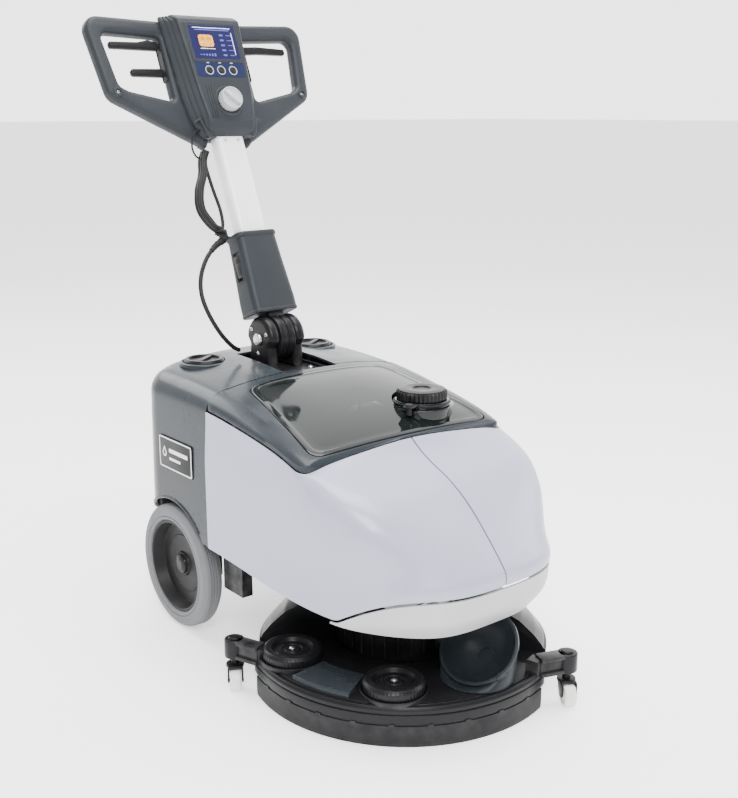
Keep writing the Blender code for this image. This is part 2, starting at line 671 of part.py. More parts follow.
def mast_tube(slide):
    sections = [section(TUBE_W, TUBE_D, 0.009, z) for z in (TUBE_LOW, TUBE_HIGH)]
    loft("mast_tube", sections, slide, "white_paint")


def handle_outline():
    half = rounded([(0.0, 0.536, 0), (0.074, 0.536, 0.004), (0.090, 0.5365, 0.02),
                    (0.2045, 0.5410, 0.024), (0.1885, 0.4065, 0.024), (0.050, 0.3290, 0.006),
                    (0.040, 0.3195, 0.004), (0.031, 0.334, 0.006), (0.0, 0.3355, 0)], 3)
    hole = rounded([(0.078, 0.5080, 0.006), (0.1790, 0.5130, 0.012), (0.1665, 0.4250, 0.014),
                    (0.152, 0.4170, 0.012), (0.078, 0.4000, 0.006)], 2)
    return [mirrored(half), hole, [(-x, y) for x, y in hole[::-1]]]


def handle_shell(name, sign, slide):
    """One half of the handle, split at the middle of the loops; sign 1 is the front."""
    obj = as_mesh(plate(name, handle_outline(), GRIP_HALF * 2, slide, "handle_plastic",
                        (0, GRIP_Y, 0), (math.pi / 2, 0, 0), 0.0085))
    y = (GRIP_Y - GAP / 2, 0.05) if sign > 0 else (-0.05, GRIP_Y + GAP / 2)
    cut_box(obj, (-0.25, y[0], 0.28), (0.25, y[1], 0.56), slide)
    mast_cavity(name + "_socket", obj, 0.28, TUBE_HIGH + GAP, slide)
    return obj


def console_section(height, base, face, depth):
    """The console's outline at a height: its base on the handle, drawn in to its face."""
    back = GRIP_Y - GRIP_HALF - GAP
    right = [(base, back), (base, back - 0.008), (face + 0.004, -depth + 0.003), (face, -depth)]
    return [(x, y, height) for x, y in right + [(-x, y) for x, y in right[::-1]]]


def console(slide):
    sections = [console_section(*row) for row in (
        (0.333, 0.043, 0.034, 0.0165), (0.340, 0.049, 0.036, 0.026), (0.352, 0.056, 0.038, 0.0325),
        (0.370, 0.062, 0.041, CONSOLE_FACE), (0.400, 0.067, 0.045, CONSOLE_FACE),
        (0.517, 0.0735, 0.054, CONSOLE_FACE), (0.528, 0.0745, 0.055, 0.030),
        (0.5375, 0.0745, 0.056, 0.018))]
    front = loft("console_front", sections, slide, "handle_plastic")
    mast_cavity("console_socket", front, 0.28, TUBE_HIGH + GAP, slide)
    recess = 0.0022
    cut_box(front, (-0.0428, -0.05, LENS_Z - 0.0293), (0.0428, -CONSOLE_FACE + recess,
            LENS_Z + 0.0293), slide)
    for k in (-1, 0, 1):
        cut_round(front, 0.0062, 0.012, slide, (k * 0.022, -CONSOLE_FACE, BUTTON_Z),
                  (math.pi / 2, 0, 0), 16)
    back = rounded([(-0.046, 0.340, 0.010), (-0.066, 0.385, 0.01), (-0.067, 0.5285, 0.008),
                    (0.067, 0.5285, 0.008), (0.066, 0.385, 0.01), (0.046, 0.340, 0.010)], 2)
    plate("console_back", [back], 0.012, slide, "handle_plastic",
          (0, GRIP_Y + GRIP_HALF + GAP + 0.006, 0), (math.pi / 2, 0, 0), 0.004)
    span_box("display_lens", (-0.0425, -CONSOLE_FACE - 0.0006, LENS_Z - 0.029),
             (0.0425, -CONSOLE_FACE + recess - GAP, LENS_Z + 0.029), slide, "display_glass")


def controls(slide):
    knob_axis = empty("knob_axis", slide, (0, -CONSOLE_FACE, KNOB_Z), (math.pi / 2, 0, 0))
    profile = [(0, 0.0175), (0.0155, 0.0175), (0.0180, 0.0155), (0.0190, 0.0035),
               (0.0190, GAP), (0, GAP)]
    turned("speed_knob", profile, knob_axis, "grey_plastic", steps=24)
    for k, side in ((-1, "right"), (0, "middle"), (1, "left")):
        axis = empty(f"button_{side}_axis", slide, (k * 0.022, -CONSOLE_FACE, BUTTON_Z),
                     (math.pi / 2, 0, 0))
        turned(f"button_{side}", [(0, 0.0018), (0.0052, 0.0016), (0.0058, 0.0008),
                                  (0.0058, -0.0040), (0, -0.0040)], axis, "grey_plastic", steps=16)


def lever(name, sign, root, tip, height, slide):
    """A paddle in a handle loop, squeezed up towards the grip about a pin at its root."""
    axis = empty(name + "_axis", slide, (sign * root, GRIP_Y, height))
    length = tip - root
    outline = rounded([(0, -0.0070, 0.004), (length, -0.0055, 0.004), (length, 0.0055, 0.004),
                       (0, 0.0070, 0.004)], 2)
    outline = [(sign * x, y) for x, y in outline]
    plate(name, [outline], 0.009, axis, "black_plastic", rotation=(math.pi / 2, 0, 0),
          edge=0.002)


def catmull(points, spacing):
    """Evenly spaced points on a smooth curve through the given ones."""
    points = np.asarray(points, float)
    padded = np.vstack([2 * points[0] - points[1], points, 2 * points[-1] - points[-2]])
    dense = []
    for p0, p1, p2, p3 in zip(padded, padded[1:], padded[2:], padded[3:]):
        t = np.linspace(0, 1, 30, endpoint=False)[:, None]
        dense.extend(0.5 * (2 * p1 + (p2 - p0) * t + (2 * p0 - 5 * p1 + 4 * p2 - p3) * t ** 2
                            + (3 * p1 - p0 - 3 * p2 + p3) * t ** 3))
    dense.append(points[-1])
    length = np.linalg.norm(np.diff(dense, axis=0), axis=1).sum()
    return even(dense, max(2, int(round(length / spacing)) + 1))


def cables(mast, slide):
    upper = [(-0.0440, 0.010, 0.3160), (-0.053, 0.008, 0.302), (-0.062, 0.004, 0.277),
             (-0.078, 0.000, 0.248), (-0.083, 0.000, 0.218), (-0.069, 0.002, 0.192),
             (-0.050, 0.003, 0.178)]
    tube("cable_upper", catmull(upper, 0.010), 0.0045, slide, "black_rubber")
    lower = [(-0.0500, 0.003, 0.168), (-0.069, 0.003, 0.158), (-0.091, 0.002, 0.138),
             (-0.109, 0.000, 0.110), (-0.117, -0.003, 0.080), (-0.113, -0.004, 0.048),
             (-0.096, 0.004, 0.018), (-0.076, 0.014, -0.001), (-0.060, 0.022, -0.008)]
    tube("cable_lower", catmull(lower, 0.010), 0.0035, mast, "black_rubber")


# ---- the turning deck ------------------------------------------------------------------
def deck_housing(deck):
    profile = [(0.048, 0.1150), (0.112, 0.1150), (0.146, 0.107), (0.173, 0.093), (0.194, 0.074),
               (0.206, 0.060), (DECK_R, 0.050), (DECK_R, 0.020), (0.206, 0.020),
               (0.206, 0.044), (0.091, 0.044), (0.087, 0.102), (0.048, 0.102)]
    obj = turned("deck_housing", profile, deck, "black_plastic", steps=36)
    pocket = [(LEDGE_R, LEDGE_Z), (0.24, LEDGE_Z), (0.24, 0.13), (LEDGE_R, 0.13)]
    cutter = spun("pocket", pocket, POCKET_HALF_ANGLE, 16, deck, "black_plastic")
    return boolean(obj, cutter, "DIFFERENCE")


def squeegee(deck):
    body = [(LEDGE_R + 0.004, LEDGE_Z + GAP), (LEDGE_R + 0.004, PLATE_TOP), (0.2215, PLATE_TOP),
            (BAND_R, 0.0525), (BAND_R, 0.030), (DECK_R + 0.0025, 0.030),
            (DECK_R + 0.0025, LEDGE_Z + GAP)]
    obj = spun("squeegee_body", body, BAND_HALF_ANGLE, 22, deck, "black_plastic")
    for side, sign in (("right", 1), ("left", -1)):
        start = polar(0.2280, sign * math.radians(61.5), ARM_MIDDLE)
        end = polar(CASTER_R, sign * CASTER_ANGLE, ARM_MIDDLE)
        run = end - start
        arm = box_mesh(f"arm_{side}", (run.length, 0.022, ARM_HEIGHT), (0, 0, 0))
        turn = math.atan2(run.y, run.x)
        boolean(obj, add(arm.name, arm, deck, "black_plastic", (start + end) / 2,
                         (0, 0, turn)), "UNION")
        eye = cylinder_mesh(f"eye_{side}", 0.0145, ARM_HEIGHT, 20)
        boolean(obj, add(eye.name, eye, deck, "black_plastic", end), "UNION")
        cut_round(obj, 0.0060, 0.06, deck, end, segments=16)
    for name, radius, thick in (("blade_front", 0.2140, 0.003), ("blade_rear", 0.2218, 0.0033)):
        blade = [(radius, 0.0), (radius, 0.030 - GAP), (radius + thick, 0.030 - GAP),
                 (radius + thick, 0.0)]
        spun(name, blade, BAND_HALF_ANGLE - 0.03, 22, deck, "black_rubber")
    return obj


def clamp_knob(name, angle, deck):
    """A round hand knob that clamps the squeegee plate."""
    axis = empty(name + "_axis", deck, polar(CLAMP_AT, math.radians(angle), PLATE_TOP))
    profile = [(0, 0.0165), (0.026, 0.0165), (0.030, 0.0195), (0.0385, 0.0195),
               (CLAMP_R, 0.0155), (CLAMP_R, 0.0040), (0.039, GAP), (0, GAP)]
    turned(name, profile, axis, "black_plastic", steps=28)


def suction_duct(deck):
    """A turret that leans back on the squeegee, hollow like a scoop, and its neck."""
    foot, lean = polar(DUCT_AT, math.radians(DUCT_ANGLE)), Vector((-0.515, -0.857, 0))
    axis = lean * math.cos(DUCT_TILT) + Vector((0, 0, math.sin(DUCT_TILT)))
    down = lean * math.sin(DUCT_TILT) - Vector((0, 0, math.cos(DUCT_TILT)))
    across, rim = Vector((0, 0, 1)).cross(lean), foot + Vector((0, 0, DUCT_HEIGHT))
    rings = [[foot + lean * (0.052 * math.cos(a)) + across * (0.052 * math.sin(a))
              + Vector((0, 0, height)) for a in np.linspace(0, math.tau, 29)[:-1]]
             for height in (PLATE_TOP + GAP, PLATE_TOP + 0.0020)]
    for radius, depth in ((0.0555, 0.006), (0.0565, 0), (0.0520, 0), (0.047, 0.009), (0.035, 0.0215),
                          (0.015, 0.0315), (0.011, 0.034)):
        rings.append([rim - axis * depth + (down * math.cos(a) + across * math.sin(a)) * radius
                      for a in np.linspace(0, math.tau, 29)[:-1]])
    obj = loft("suction_duct", rings, deck, "duct_plastic")
    route = [polar(radius, math.radians(DUCT_ANGLE), 0.085) for radius in (0.117, 0.0985)]
    boolean(obj, as_mesh(tube("duct_neck", route, 0.018, deck, "duct_plastic", 4)), "UNION")


def caster(side, sign, deck):
    place = polar(CASTER_R, sign * CASTER_ANGLE)
    swivel = empty(f"caster_{side}_axis", deck, place, (0, 0, -DECK_TURN + math.radians(150)))
    fork = turned(f"caster_fork_{side}", [(0, 0.0790), (0.0090, 0.0790), (0.0090, 0.0766),
                                          (0.0057, 0.0766), (0.0057, 0.0377), (0.0130, 0.0377),
                                          (0.0130, 0.0335), (0, 0.0335)], swivel,
                  "black_plastic", steps=16)
    for k in (-1, 1):
        x = sorted((k * 0.0088, k * 0.0112))
        cheek = span_box(f"fork_cheek_{side}_{k}", (x[0], -0.006, 0.0125),
                         (x[1], CASTER_TRAIL + 0.006, 0.0350), swivel, "black_plastic")
        boolean(fork, cheek, "UNION")
    crown = span_box(f"fork_crown_{side}", (-0.0100, -0.005, 0.0337),
                     (0.0100, CASTER_TRAIL + 0.005, 0.0370), swivel, "black_plastic")
    boolean(fork, crown, "UNION")
    pin = cylinder_mesh(f"fork_pin_{side}", 0.0024, 0.0200, 12)
    boolean(fork, add(pin.name, pin, swivel, "steel", (0, CASTER_TRAIL, CASTER_WHEEL_R),
                      along_x()), "UNION")
    roll = empty(f"caster_wheel_{side}_axis", swivel, (0, CASTER_TRAIL, CASTER_WHEEL_R))
    r, w = CASTER_WHEEL_R, 0.0082
    profile = [(0.0028, w), (r - 0.0025, w), (r, w - 0.003), (r, 0.003 - w), (r - 0.0025, -w),
               (0.0028, -w)]
    turned(f"caster_wheel_{side}", profile, roll, "caster_plastic", rotation=along_x(), steps=20)


def brush(deck):
    motor = [(0, 0.1395), (0.044, 0.1395), (0.044, 0.0660), (0, 0.0660)]
    turned("brush_motor", motor, deck, "frame_paint")
    spin = empty("brush_axis", deck)
    driver = [(0, 0.0655), (0.020, 0.0655), (0.022, 0.0420), (0.178, 0.0400), (0.180, 0.0300),
              (0, 0.0300)]
    turned("pad_driver", driver, spin, "black_plastic", steps=28)
    turned("brush_pad", [(0, 0.0297), (PAD_R, 0.0297), (PAD_R, 0.0), (0, 0.0)], spin,
           "pad_fibre", steps=28)


# ---- the machine -----------------------------------------------------------------------
def build():
    machine = empty("machine", None, (CENTRE_X, AXLE_Y, 0))
    for side, sign in (("right", -1), ("left", 1)):
        rear_wheel(side, sign, machine)
        cowl_half(f"cowl_{side}", sign, machine)
    axle(machine)
    chassis_frame(machine)
    inner_parts(machine)
    rear_housing(machine)
    top_tray(machine)
    chin(machine)
    label = plate("label_plate", [rounded([(-0.050, -0.026, 0.003), (0.050, -0.026, 0.003),
                                           (0.050, 0.026, 0.003), (-0.050, 0.026, 0.003)])],
                  0.0012, machine, "black_plastic", (-0.18955, -0.018, 0.286),
                  (math.pi / 2, 0, -math.pi / 2))
    label.data.bevel_resolution = 0
    mast_bracket(machine)
    hinge_pin(machine)

    lid_axis = empty("lid_axis", machine, (0, LID_MIDDLE_Y + LID_HALF_Y, 0.424))
    cover = lid(machine)
    cover.data.transform(Matrix.Translation(-lid_axis.location))
    cover.parent = lid_axis
    cut_round(cover, 0.0449, 0.08, machine, (FILL_X, FILL_Y, 0.395), segments=32)
    caps(machine, lid_axis)

    mast = empty("mast_axis", machine, (0, MAST_Y, MAST_Z), (-MAST_TILT, 0, 0))
    knuckle(mast)
    sleeve(mast)
    slide = empty("mast_slide_axis", mast)
    mast_tube(slide)
    handle_shell("handle_front", 1, slide)
    handle_shell("handle_back", -1, slide)
    console(slide)
    controls(slide)
    lever("lever_right", -1, 0.0800, 0.165, 0.4950, slide)
    lever("lever_left", 1, 0.0800, 0.165, 0.4930, slide)
    lever("tilt_lever", -1, 0.0800, 0.138, 0.4500, slide)
    cables(mast, slide)

    deck = empty("deck_axis", machine, (0, DECK_Y, 0), (0, 0, DECK_TURN))
    deck_housing(deck)
    squeegee(deck)
    for name, angle in zip(("squeegee_knob_middle", "squeegee_knob_right"), CLAMP_ANGLES):
        clamp_knob(name, angle, deck)
    suction_duct(deck)
    caster("right", 1, deck)
    caster("left", -1, deck)
    brush(deck)


build()
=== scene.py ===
"""The looks of a compact floor scrubber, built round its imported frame.

Metres, +Z up. Shapes are laid out from three places that the frame's joints give: the
wheel axle's middle on the floor, the mast's pivot and the deck's own turning axis.
"""

import json
from math import atan2, copysign, cos, hypot, pi, radians, sin, sqrt, tan, tau

import bmesh
import bpy
import numpy as np
from mathutils import Matrix, Vector


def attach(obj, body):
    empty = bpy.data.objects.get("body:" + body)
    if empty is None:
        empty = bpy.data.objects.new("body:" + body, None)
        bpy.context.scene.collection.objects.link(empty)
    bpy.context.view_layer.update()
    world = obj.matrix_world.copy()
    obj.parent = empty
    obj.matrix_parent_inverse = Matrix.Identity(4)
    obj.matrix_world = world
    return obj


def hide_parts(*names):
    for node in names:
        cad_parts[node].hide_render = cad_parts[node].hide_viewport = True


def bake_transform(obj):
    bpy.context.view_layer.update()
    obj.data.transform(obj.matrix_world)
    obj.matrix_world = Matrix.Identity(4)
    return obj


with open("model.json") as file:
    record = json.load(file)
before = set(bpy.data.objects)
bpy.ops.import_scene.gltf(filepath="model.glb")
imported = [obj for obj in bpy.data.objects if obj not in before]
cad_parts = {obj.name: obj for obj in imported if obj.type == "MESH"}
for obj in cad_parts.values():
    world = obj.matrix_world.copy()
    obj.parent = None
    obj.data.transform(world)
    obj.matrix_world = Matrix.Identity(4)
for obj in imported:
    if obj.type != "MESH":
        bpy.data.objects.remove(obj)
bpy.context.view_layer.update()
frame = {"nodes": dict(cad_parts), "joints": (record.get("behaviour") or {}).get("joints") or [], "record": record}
JOINTS = {joint["name"]: joint for joint in frame["joints"]}


def pivot(joint):
    return Vector(JOINTS[joint]["pos_m"])


def spin(degrees, axis="Z"):
    return Matrix.Rotation(radians(degrees), 4, axis)


def shift(*place):
    return Matrix.Translation(place)


def linked(name, data):
    obj = bpy.data.objects.new(name, data)
    bpy.context.scene.collection.objects.link(obj)
    return obj


def settings(node, **values):
    """Sets a node's inputs; an underscore stands for the space in an input's name."""
    for name, value in values.items():
        node.inputs[name.replace("_", " ")].default_value = value
    return node


def mm(*rows):
    """Rows of millimetres as rows of metres."""
    return [tuple(number / 1000 for number in row) for row in rows]


TO_X, TO_FACE, TO_BACK = spin(90, "Y"), spin(90, "X"), spin(-90, "X")    # lay z along x, -y, y


# ---- driving dimensions ----------------------------------------------------------------
GAP, SEAM, WALL = 0.0003, 0.0014, 0.0032
WHEEL_R, TYRE_WIDTH, WHEEL_FACE_X, HUB_R = 0.1, 0.036, 0.194, 0.0746
BODY_HALF, REAR_Y, PARTING_Y = 0.19, 0.103, -0.11
REAR_CORNER, HOUSING_EDGE = 0.06, 0.372
COWL_LOW, COWL_HIGH = 0.165, 0.376
TOP_SHORT, TOP_HALF, TOP_POWER = 0.241, 0.186, 22
TOP_HEIGHT, TOP_FALL, CROWN, CREST_X, SHOULDER = 0.422, 0.065, 0.012, 0.15, 0.04
NOSE = mm((-351, 356), (-392, 335), (-433, 314), (-473, 285), (-512, 247), (-537, 219), (-541, 209),
    (-540, 199))
CHIN = mm((-540, 196.5), (-536, 166), (-517, 139))
LID_MIDDLE_Y, LID_HALF_X, LID_HALF_Y, LID_SPREAD, LID_POWER = -0.236, 0.146, 0.1065, 0.018, 14
FILL_X, FILL_Y, FILL_R = 0.079, -0.284, 0.038
PORT_X, PORT_Y, PORT_R = 0.106, 0.028, 0.0325
MAST_Y, MAST_Z = -0.02, 0.45
KNUCKLE_R, KNUCKLE_HALF, EAR_OUT, PIN_R = 0.036, 0.0135, 0.034, 0.006
TUBE_W, TUBE_D, TUBE_LOW, TUBE_HIGH = 0.052, 0.03, 0.06, 0.4
SLEEVE_LOW = 0.0385
GRIP_Y, GRIP_HALF, CONSOLE_FACE = 0.01, 0.012, 0.034
LENS_Z, BUTTON_Z, KNOB_Z = 0.485, 0.437, 0.386
DECK_TURN = radians(-44)
DECK_R, BAND_R, PAD_R = 0.211, 0.2256, 0.185
LEDGE_R, LEDGE_Z, PLATE_TOP = 0.095, 0.048, 0.056
BAND_HALF_ANGLE, POCKET_HALF_ANGLE = radians(64), radians(80)
CASTER_R, CASTER_ANGLE, CASTER_WHEEL_R, CASTER_TRAIL = 0.249, radians(70), 0.0165, 0.01
CLAMP_R, CLAMP_AT, CLAMP_ANGLES = 0.0425, 0.179, (0, 56)
DUCT_AT, DUCT_ANGLE, DUCT_HEIGHT, DUCT_TILT = 0.168, -41, 0.1005, radians(47)
ARM_MIDDLE, ARM_HEIGHT = 0.0625, 0.0275
ARCH_R, CHIN_FOOT, PANEL_Z = 0.112, 0.142, 0.4725
BOSS_X, BOSS_Z, LEVER_SLOT_Z, LOWER_STEPS = 0.173, 0.413, 0.4735, 60
BUTTON_STEP = 0.022
SIDES = (("right", -1), ("left", 1))

TILT_AXIS = Vector(JOINTS["handle_height"]["axis"])
MAST_TILT = atan2(TILT_AXIS.y, TILT_AXIS.z)
MACHINE = shift(pivot("mast_fold").x, pivot("wheel_right_roll").y, 0)
MAST = shift(*pivot("mast_fold")) @ Matrix.Rotation(-MAST_TILT, 4, "X")
DECK_PIVOT = pivot("deck_turn")
DECK = shift(DECK_PIVOT.x, DECK_PIVOT.y, 0) @ Matrix.Rotation(DECK_TURN, 4, "Z")


# ---- materials -------------------------------------------------------------------------
# name: colour, roughness, metallic, mottling, grain in metres, grain depth, lighter edges (scuffing and painted
# edge highlight), dust
RECIPES = {
    "housing_plastic": ((0.021, 0.026, 0.031), 0.24, 0, 0.04, 0.0007, 0.1, 0.06, 0.004),
    "cowl_plastic": ((0.335, 0.345, 0.44), 0.36, 0, 0.03, 0.0009, 0.05, 0.1, 0.02),
    "chin_plastic": ((0.43, 0.432, 0.432), 0.42, 0, 0.03, 0.0009, 0.08, 0.1, 0.03),
    "lid_plastic": ((0.006, 0.008, 0.008), 0.06, 0, 0.1, 0.01, 0.02, 0.05, 0.003),
    "black_plastic": ((0.008, 0.008, 0.009), 0.34, 0, 0.06, 0.0006, 0.18, 0.12, 0.004),
    "handle_plastic": ((0.021, 0.024, 0.028), 0.44, 0, 0.06, 0.0006, 0.26, 0.1, 0.004),
    "grey_plastic": ((0.4, 0.415, 0.43), 0.4, 0, 0.05, 0.0008, 0.12, 0.15, 0.03),
    "duct_plastic": ((0.013, 0.017, 0.02), 0.36, 0, 0.05, 0.0008, 0.1, 0.12, 0.004),
    "white_paint": ((0.87, 0.875, 0.885), 0.26, 0, 0.02, 0.0016, 0.06, 0.0, 0.02),
    "frame_paint": ((0.01, 0.01, 0.011), 0.42, 0, 0.08, 0.0012, 0.15, 0.15, 0.01),
    "steel": ((0.6, 0.6, 0.6), 0.3, 1, 0.1, 0.001, 0.1, 0.0, 0.02),
    "tyre_rubber": ((0.125, 0.128, 0.136), 0.7, 0, 0.03, 0.0005, 0.35, 0.1, 0.03),
    "black_rubber": ((0.01, 0.01, 0.011), 0.5, 0, 0.05, 0.0005, 0.15, 0.06, 0.003),
    "hub_plastic": ((0.01, 0.01, 0.01), 0.46, 0, 0.06, 0.0007, 0.22, 0.1, 0.006),
    "display_glass": ((0.012, 0.012, 0.052), 0.08, 0, 0.1, 0.008, 0.01, 0.0, 0.0),
    "pad_fibre": ((0.3, 0.035, 0.03), 0.95, 0, 0.35, 0.0012, 1.0, 0.0, 0.0),
    "caster_plastic": ((0.72, 0.73, 0.7), 0.34, 0, 0.05, 0.001, 0.08, 0.0, 0.04),
    "tank_plastic": ((0.55, 0.58, 0.6), 0.45, 0, 0.06, 0.001, 0.1, 0.0, 0.05),
    "panel_blue": ((0.014, 0.018, 0.05), 0.22, 0, 0.05, 0.0008, 0.05, 0.0, 0.0),
    "print_white": ((0.78, 0.79, 0.8), 0.35, 0, 0.04, 0.0008, 0.05, 0.0, 0.0),
    "print_blue": ((0.08, 0.09, 0.38), 0.25, 0, 0.1, 0.0008, 0.05, 0.0, 0.0),
    "print_amber": ((0.85, 0.33, 0.03), 0.25, 0, 0.1, 0.0008, 0.05, 0.0, 0.0),
    "print_yellow": ((0.9, 0.7, 0.18), 0.25, 0, 0.1, 0.0008, 0.05, 0.0, 0.0),
}
DUST, DARK = (0.45, 0.43, 0.4), 0.13
COATS = {"lid_plastic": 0.3, "housing_plastic": 0.06, "display_glass": 0.4, "white_paint": 0.4,
    "cowl_plastic": 0.2}


def build_material(name):
    colour, roughness, metallic, mottling, grain, depth, edge_scuff_and_highlight, dust = RECIPES[name]
    material = bpy.data.materials.new("surface_" + name)
    material.use_nodes = True
    nodes, links = material.node_tree.nodes, material.node_tree.links
    shader = nodes["Principled BSDF"]
    settings(shader, Metallic=metallic, Coat_Weight=COATS.get(name, 0), Coat_Roughness=0.06)
    if not metallic and max(colour) < DARK:
        settings(shader, Specular_IOR_Level=0.16)
    if name == "caster_plastic":
        settings(shader, Subsurface_Weight=0.25, Subsurface_Radius=(0.006, 0.006, 0.006))
    place = nodes.new("ShaderNodeTexCoord").outputs["Object"]

    def noise(scale, detail=3.0, stretch=None):
        node = settings(nodes.new("ShaderNodeTexNoise"), Scale=scale, Detail=detail)
        if stretch:
            mapping = settings(nodes.new("ShaderNodeMapping"), Scale=stretch)
            links.new(place, mapping.inputs["Vector"])
            links.new(mapping.outputs["Vector"], node.inputs["Vector"])
        else:
            links.new(place, node.inputs["Vector"])
        return node.outputs["Fac"]

    def ranged(value, low, high, to_low, to_high):
        node = settings(nodes.new("ShaderNodeMapRange"), From_Min=low, From_Max=high, To_Min=to_low,
            To_Max=to_high)
        links.new(value, node.inputs["Value"])
        return node.outputs["Result"]

    def product(first, second):
        node = nodes.new("ShaderNodeMath")
        node.operation = "MULTIPLY"
        links.new(first, node.inputs[0])
        links.new(second, node.inputs[1])
        return node.outputs[0]

    def mixed(factor, first, second):
        node = nodes.new("ShaderNodeMix")
        node.data_type = "RGBA"
        links.new(factor, node.inputs["Factor"])
        for socket, value in (("A", first), ("B", second)):
            target = next(i for i in node.inputs if i.name == socket and i.type == "RGBA")
            if isinstance(value, tuple):
                target.default_value = (*value, 1)
            else:
                links.new(value, target)
        return next(o for o in node.outputs if o.type == "RGBA")

    dark = tuple(c * (1 - mottling) for c in colour)
    light = tuple(min(1, c * (1 + mottling)) for c in colour)
    tone = mixed(ranged(noise(14, 4), 0.3, 0.7, 0, 1), dark, light)
    # Convex edges are mixed towards a paler grey in patches: partly scuffed plastic, partly a painted highlight
    # where the edges catch the light.
    if edge_scuff_and_highlight:
        scuffed_and_lit_tone = tuple(c + (0.55 - c) * 0.45 for c in colour)
        edge = nodes.new("ShaderNodeNewGeometry").outputs["Pointiness"]
        edge_scuff_and_highlight_mask = product(ranged(edge, 0.53, 0.6, 0, edge_scuff_and_highlight), ranged(noise(60, 5), 0.35, 0.65, 0, 1))
        tone = mixed(edge_scuff_and_highlight_mask, tone, scuffed_and_lit_tone)
    if dust:
        normal = nodes.new("ShaderNodeSeparateXYZ")
        links.new(nodes.new("ShaderNodeNewGeometry").outputs["Normal"], normal.inputs[0])
        settled = product(ranged(normal.outputs["Z"], 0.2, 1.0, 0, dust),
            ranged(noise(34, 6), 0.42, 0.62, 0, 1))
        tone = mixed(settled, tone, DUST)
    links.new(tone, shader.inputs["Base Color"])
    patches = ranged(noise(26, 4), 0.3, 0.7, max(0.03, roughness - 0.06), roughness + 0.06)
    links.new(patches, shader.inputs["Roughness"])
    bump = settings(nodes.new("ShaderNodeBump"), Strength=depth, Distance=0.0003)
    stretch = (1, 1, 0.04) if name == "steel" else None
    links.new(noise(0.5 / grain, 2, stretch), bump.inputs["Height"])
    links.new(bump.outputs["Normal"], shader.inputs["Normal"])
    return material


MATERIALS = {name: build_material(name) for name in RECIPES}


# ---- shapes ----------------------------------------------------------------------------
def even(points, count):
    """Points spaced evenly along a dense polyline."""
    points = np.asarray(points, float)
    run = np.r_[0, np.cumsum(np.linalg.norm(np.diff(points, axis=0), axis=1))]
    at = np.linspace(0, run[-1], count)
    return np.stack([np.interp(at, run, points[:, k]) for k in range(points.shape[1])], 1)


def catmull(points, count):
    """Evenly spaced points on a smooth curve through the given ones."""
    points = np.asarray(points, float)
    padded = np.vstack([2 * points[0] - points[1], points, 2 * points[-1] - points[-2]])
    dense = []
    for p0, p1, p2, p3 in zip(padded, padded[1:], padded[2:], padded[3:]):
        t = np.linspace(0, 1, 30, endpoint=False)[:, None]
        dense.extend(0.5 * (2 * p1 + (p2 - p0) * t + (2 * p0 - 5 * p1 + 4 * p2 - p3) * t ** 2
            + (3 * p1 - p0 - 3 * p2 + p3) * t ** 3))
    dense.append(points[-1])
    return even(dense, count)


def rounded(corners, points=4):
    """An outline from (x, y, radius) corners, each drawn as an arc."""
    outline = []
    for i, (x, y, radius) in enumerate(corners):
        here = Vector((x, y))
        if radius <= 0:
            outline.append(tuple(here))
            continue
        before = (Vector(corners[i - 1][:2]) - here).normalized()
        after = (Vector(corners[(i + 1) % len(corners)][:2]) - here).normalized()
        half = before.angle(after) / 2
        reach = radius / tan(half)
        start, end = here + before * reach, here + after * reach
        centre = here + (before + after).normalized() * (radius / sin(half))
        a, b = start - centre, end - centre
        swing = atan2(a.x * b.y - a.y * b.x, a.dot(b))
        outline += [tuple(centre + Matrix.Rotation(swing * k / points, 2) @ a) for k in range(points + 1)]
    return outline


def all_round(count):
    return np.linspace(0, tau, count, endpoint=False)


def mirrored(half):
    """A closed outline from its right half, which runs from the top to the bottom."""
    return list(half) + [(-x, y) for x, y in reversed(half) if abs(x) > 1e-6]


def two_sided(half):
    """A profile from its upper half of (radius, height, corner) rows, mirrored below."""
    return [*half, *[(r, -z, corner) for r, z, corner in reversed(half)]]


def box_outline(width, height, corner, x=0.0, y=0.0, points=4):
    w, h = width / 2, height / 2
    return rounded([(x - w, y - h, corner), (x + w, y - h, corner), (x + w, y + h, corner),
        (x - w, y + h, corner)], points)


def closed(bm):
    mesh = bpy.data.meshes.new("shape")
    bm.to_mesh(mesh)
    bm.free()
    return mesh


def cleaned(bm):
    bmesh.ops.remove_doubles(bm, verts=bm.verts, dist=2e-6)
    bmesh.ops.dissolve_degenerate(bm, edges=bm.edges, dist=1e-7)
    bmesh.ops.recalc_face_normals(bm, faces=bm.faces)
    return closed(bm)


def grid(rows, ring=False, loop=False, capped=False, outward=0):
    """A mesh over rows of points: ring joins each row's ends, loop the last row to the first."""
    bm = bmesh.new()
    lines = [[bm.verts.new(p) for p in row] for row in rows]
    for low, high in zip(lines, lines[1:] + (lines[:1] if loop else [])):
        for i in range(len(low) if ring else len(low) - 1):
            j = (i + 1) % len(low)
            quad = (low[i], low[j], high[j], high[i])
            bm.faces.new(quad if outward >= 0 else quad[::-1])
    if capped:
        bm.faces.new(lines[0])
        bm.faces.new(lines[-1])
    return closed(bm) if outward else cleaned(bm)


def turned(profile, steps=64, half_angle=None, ridges=0, ridge_depth=0.0):
    """A profile of (radius, height) turned about z: all round, or both ways from -y."""
    if half_angle is None:
        angles = [tau * k / steps for k in range(steps)]
    else:
        angles = np.linspace(-half_angle, half_angle, steps) - pi / 2
    rows = []
    widest = max(r for r, z in profile)
    for angle in angles:
        cut = ridge_depth * (0.5 + 0.5 * cos(ridges * angle)) if ridges else 0
        reach = [r - cut * (r > widest - 0.003) for r, z in profile]
        rows.append([(r * cos(angle), r * sin(angle), z) for r, (_, z) in zip(reach, profile)])
    return grid(rows, ring=profile[0][0] > 0, loop=half_angle is None, capped=half_angle is not None)


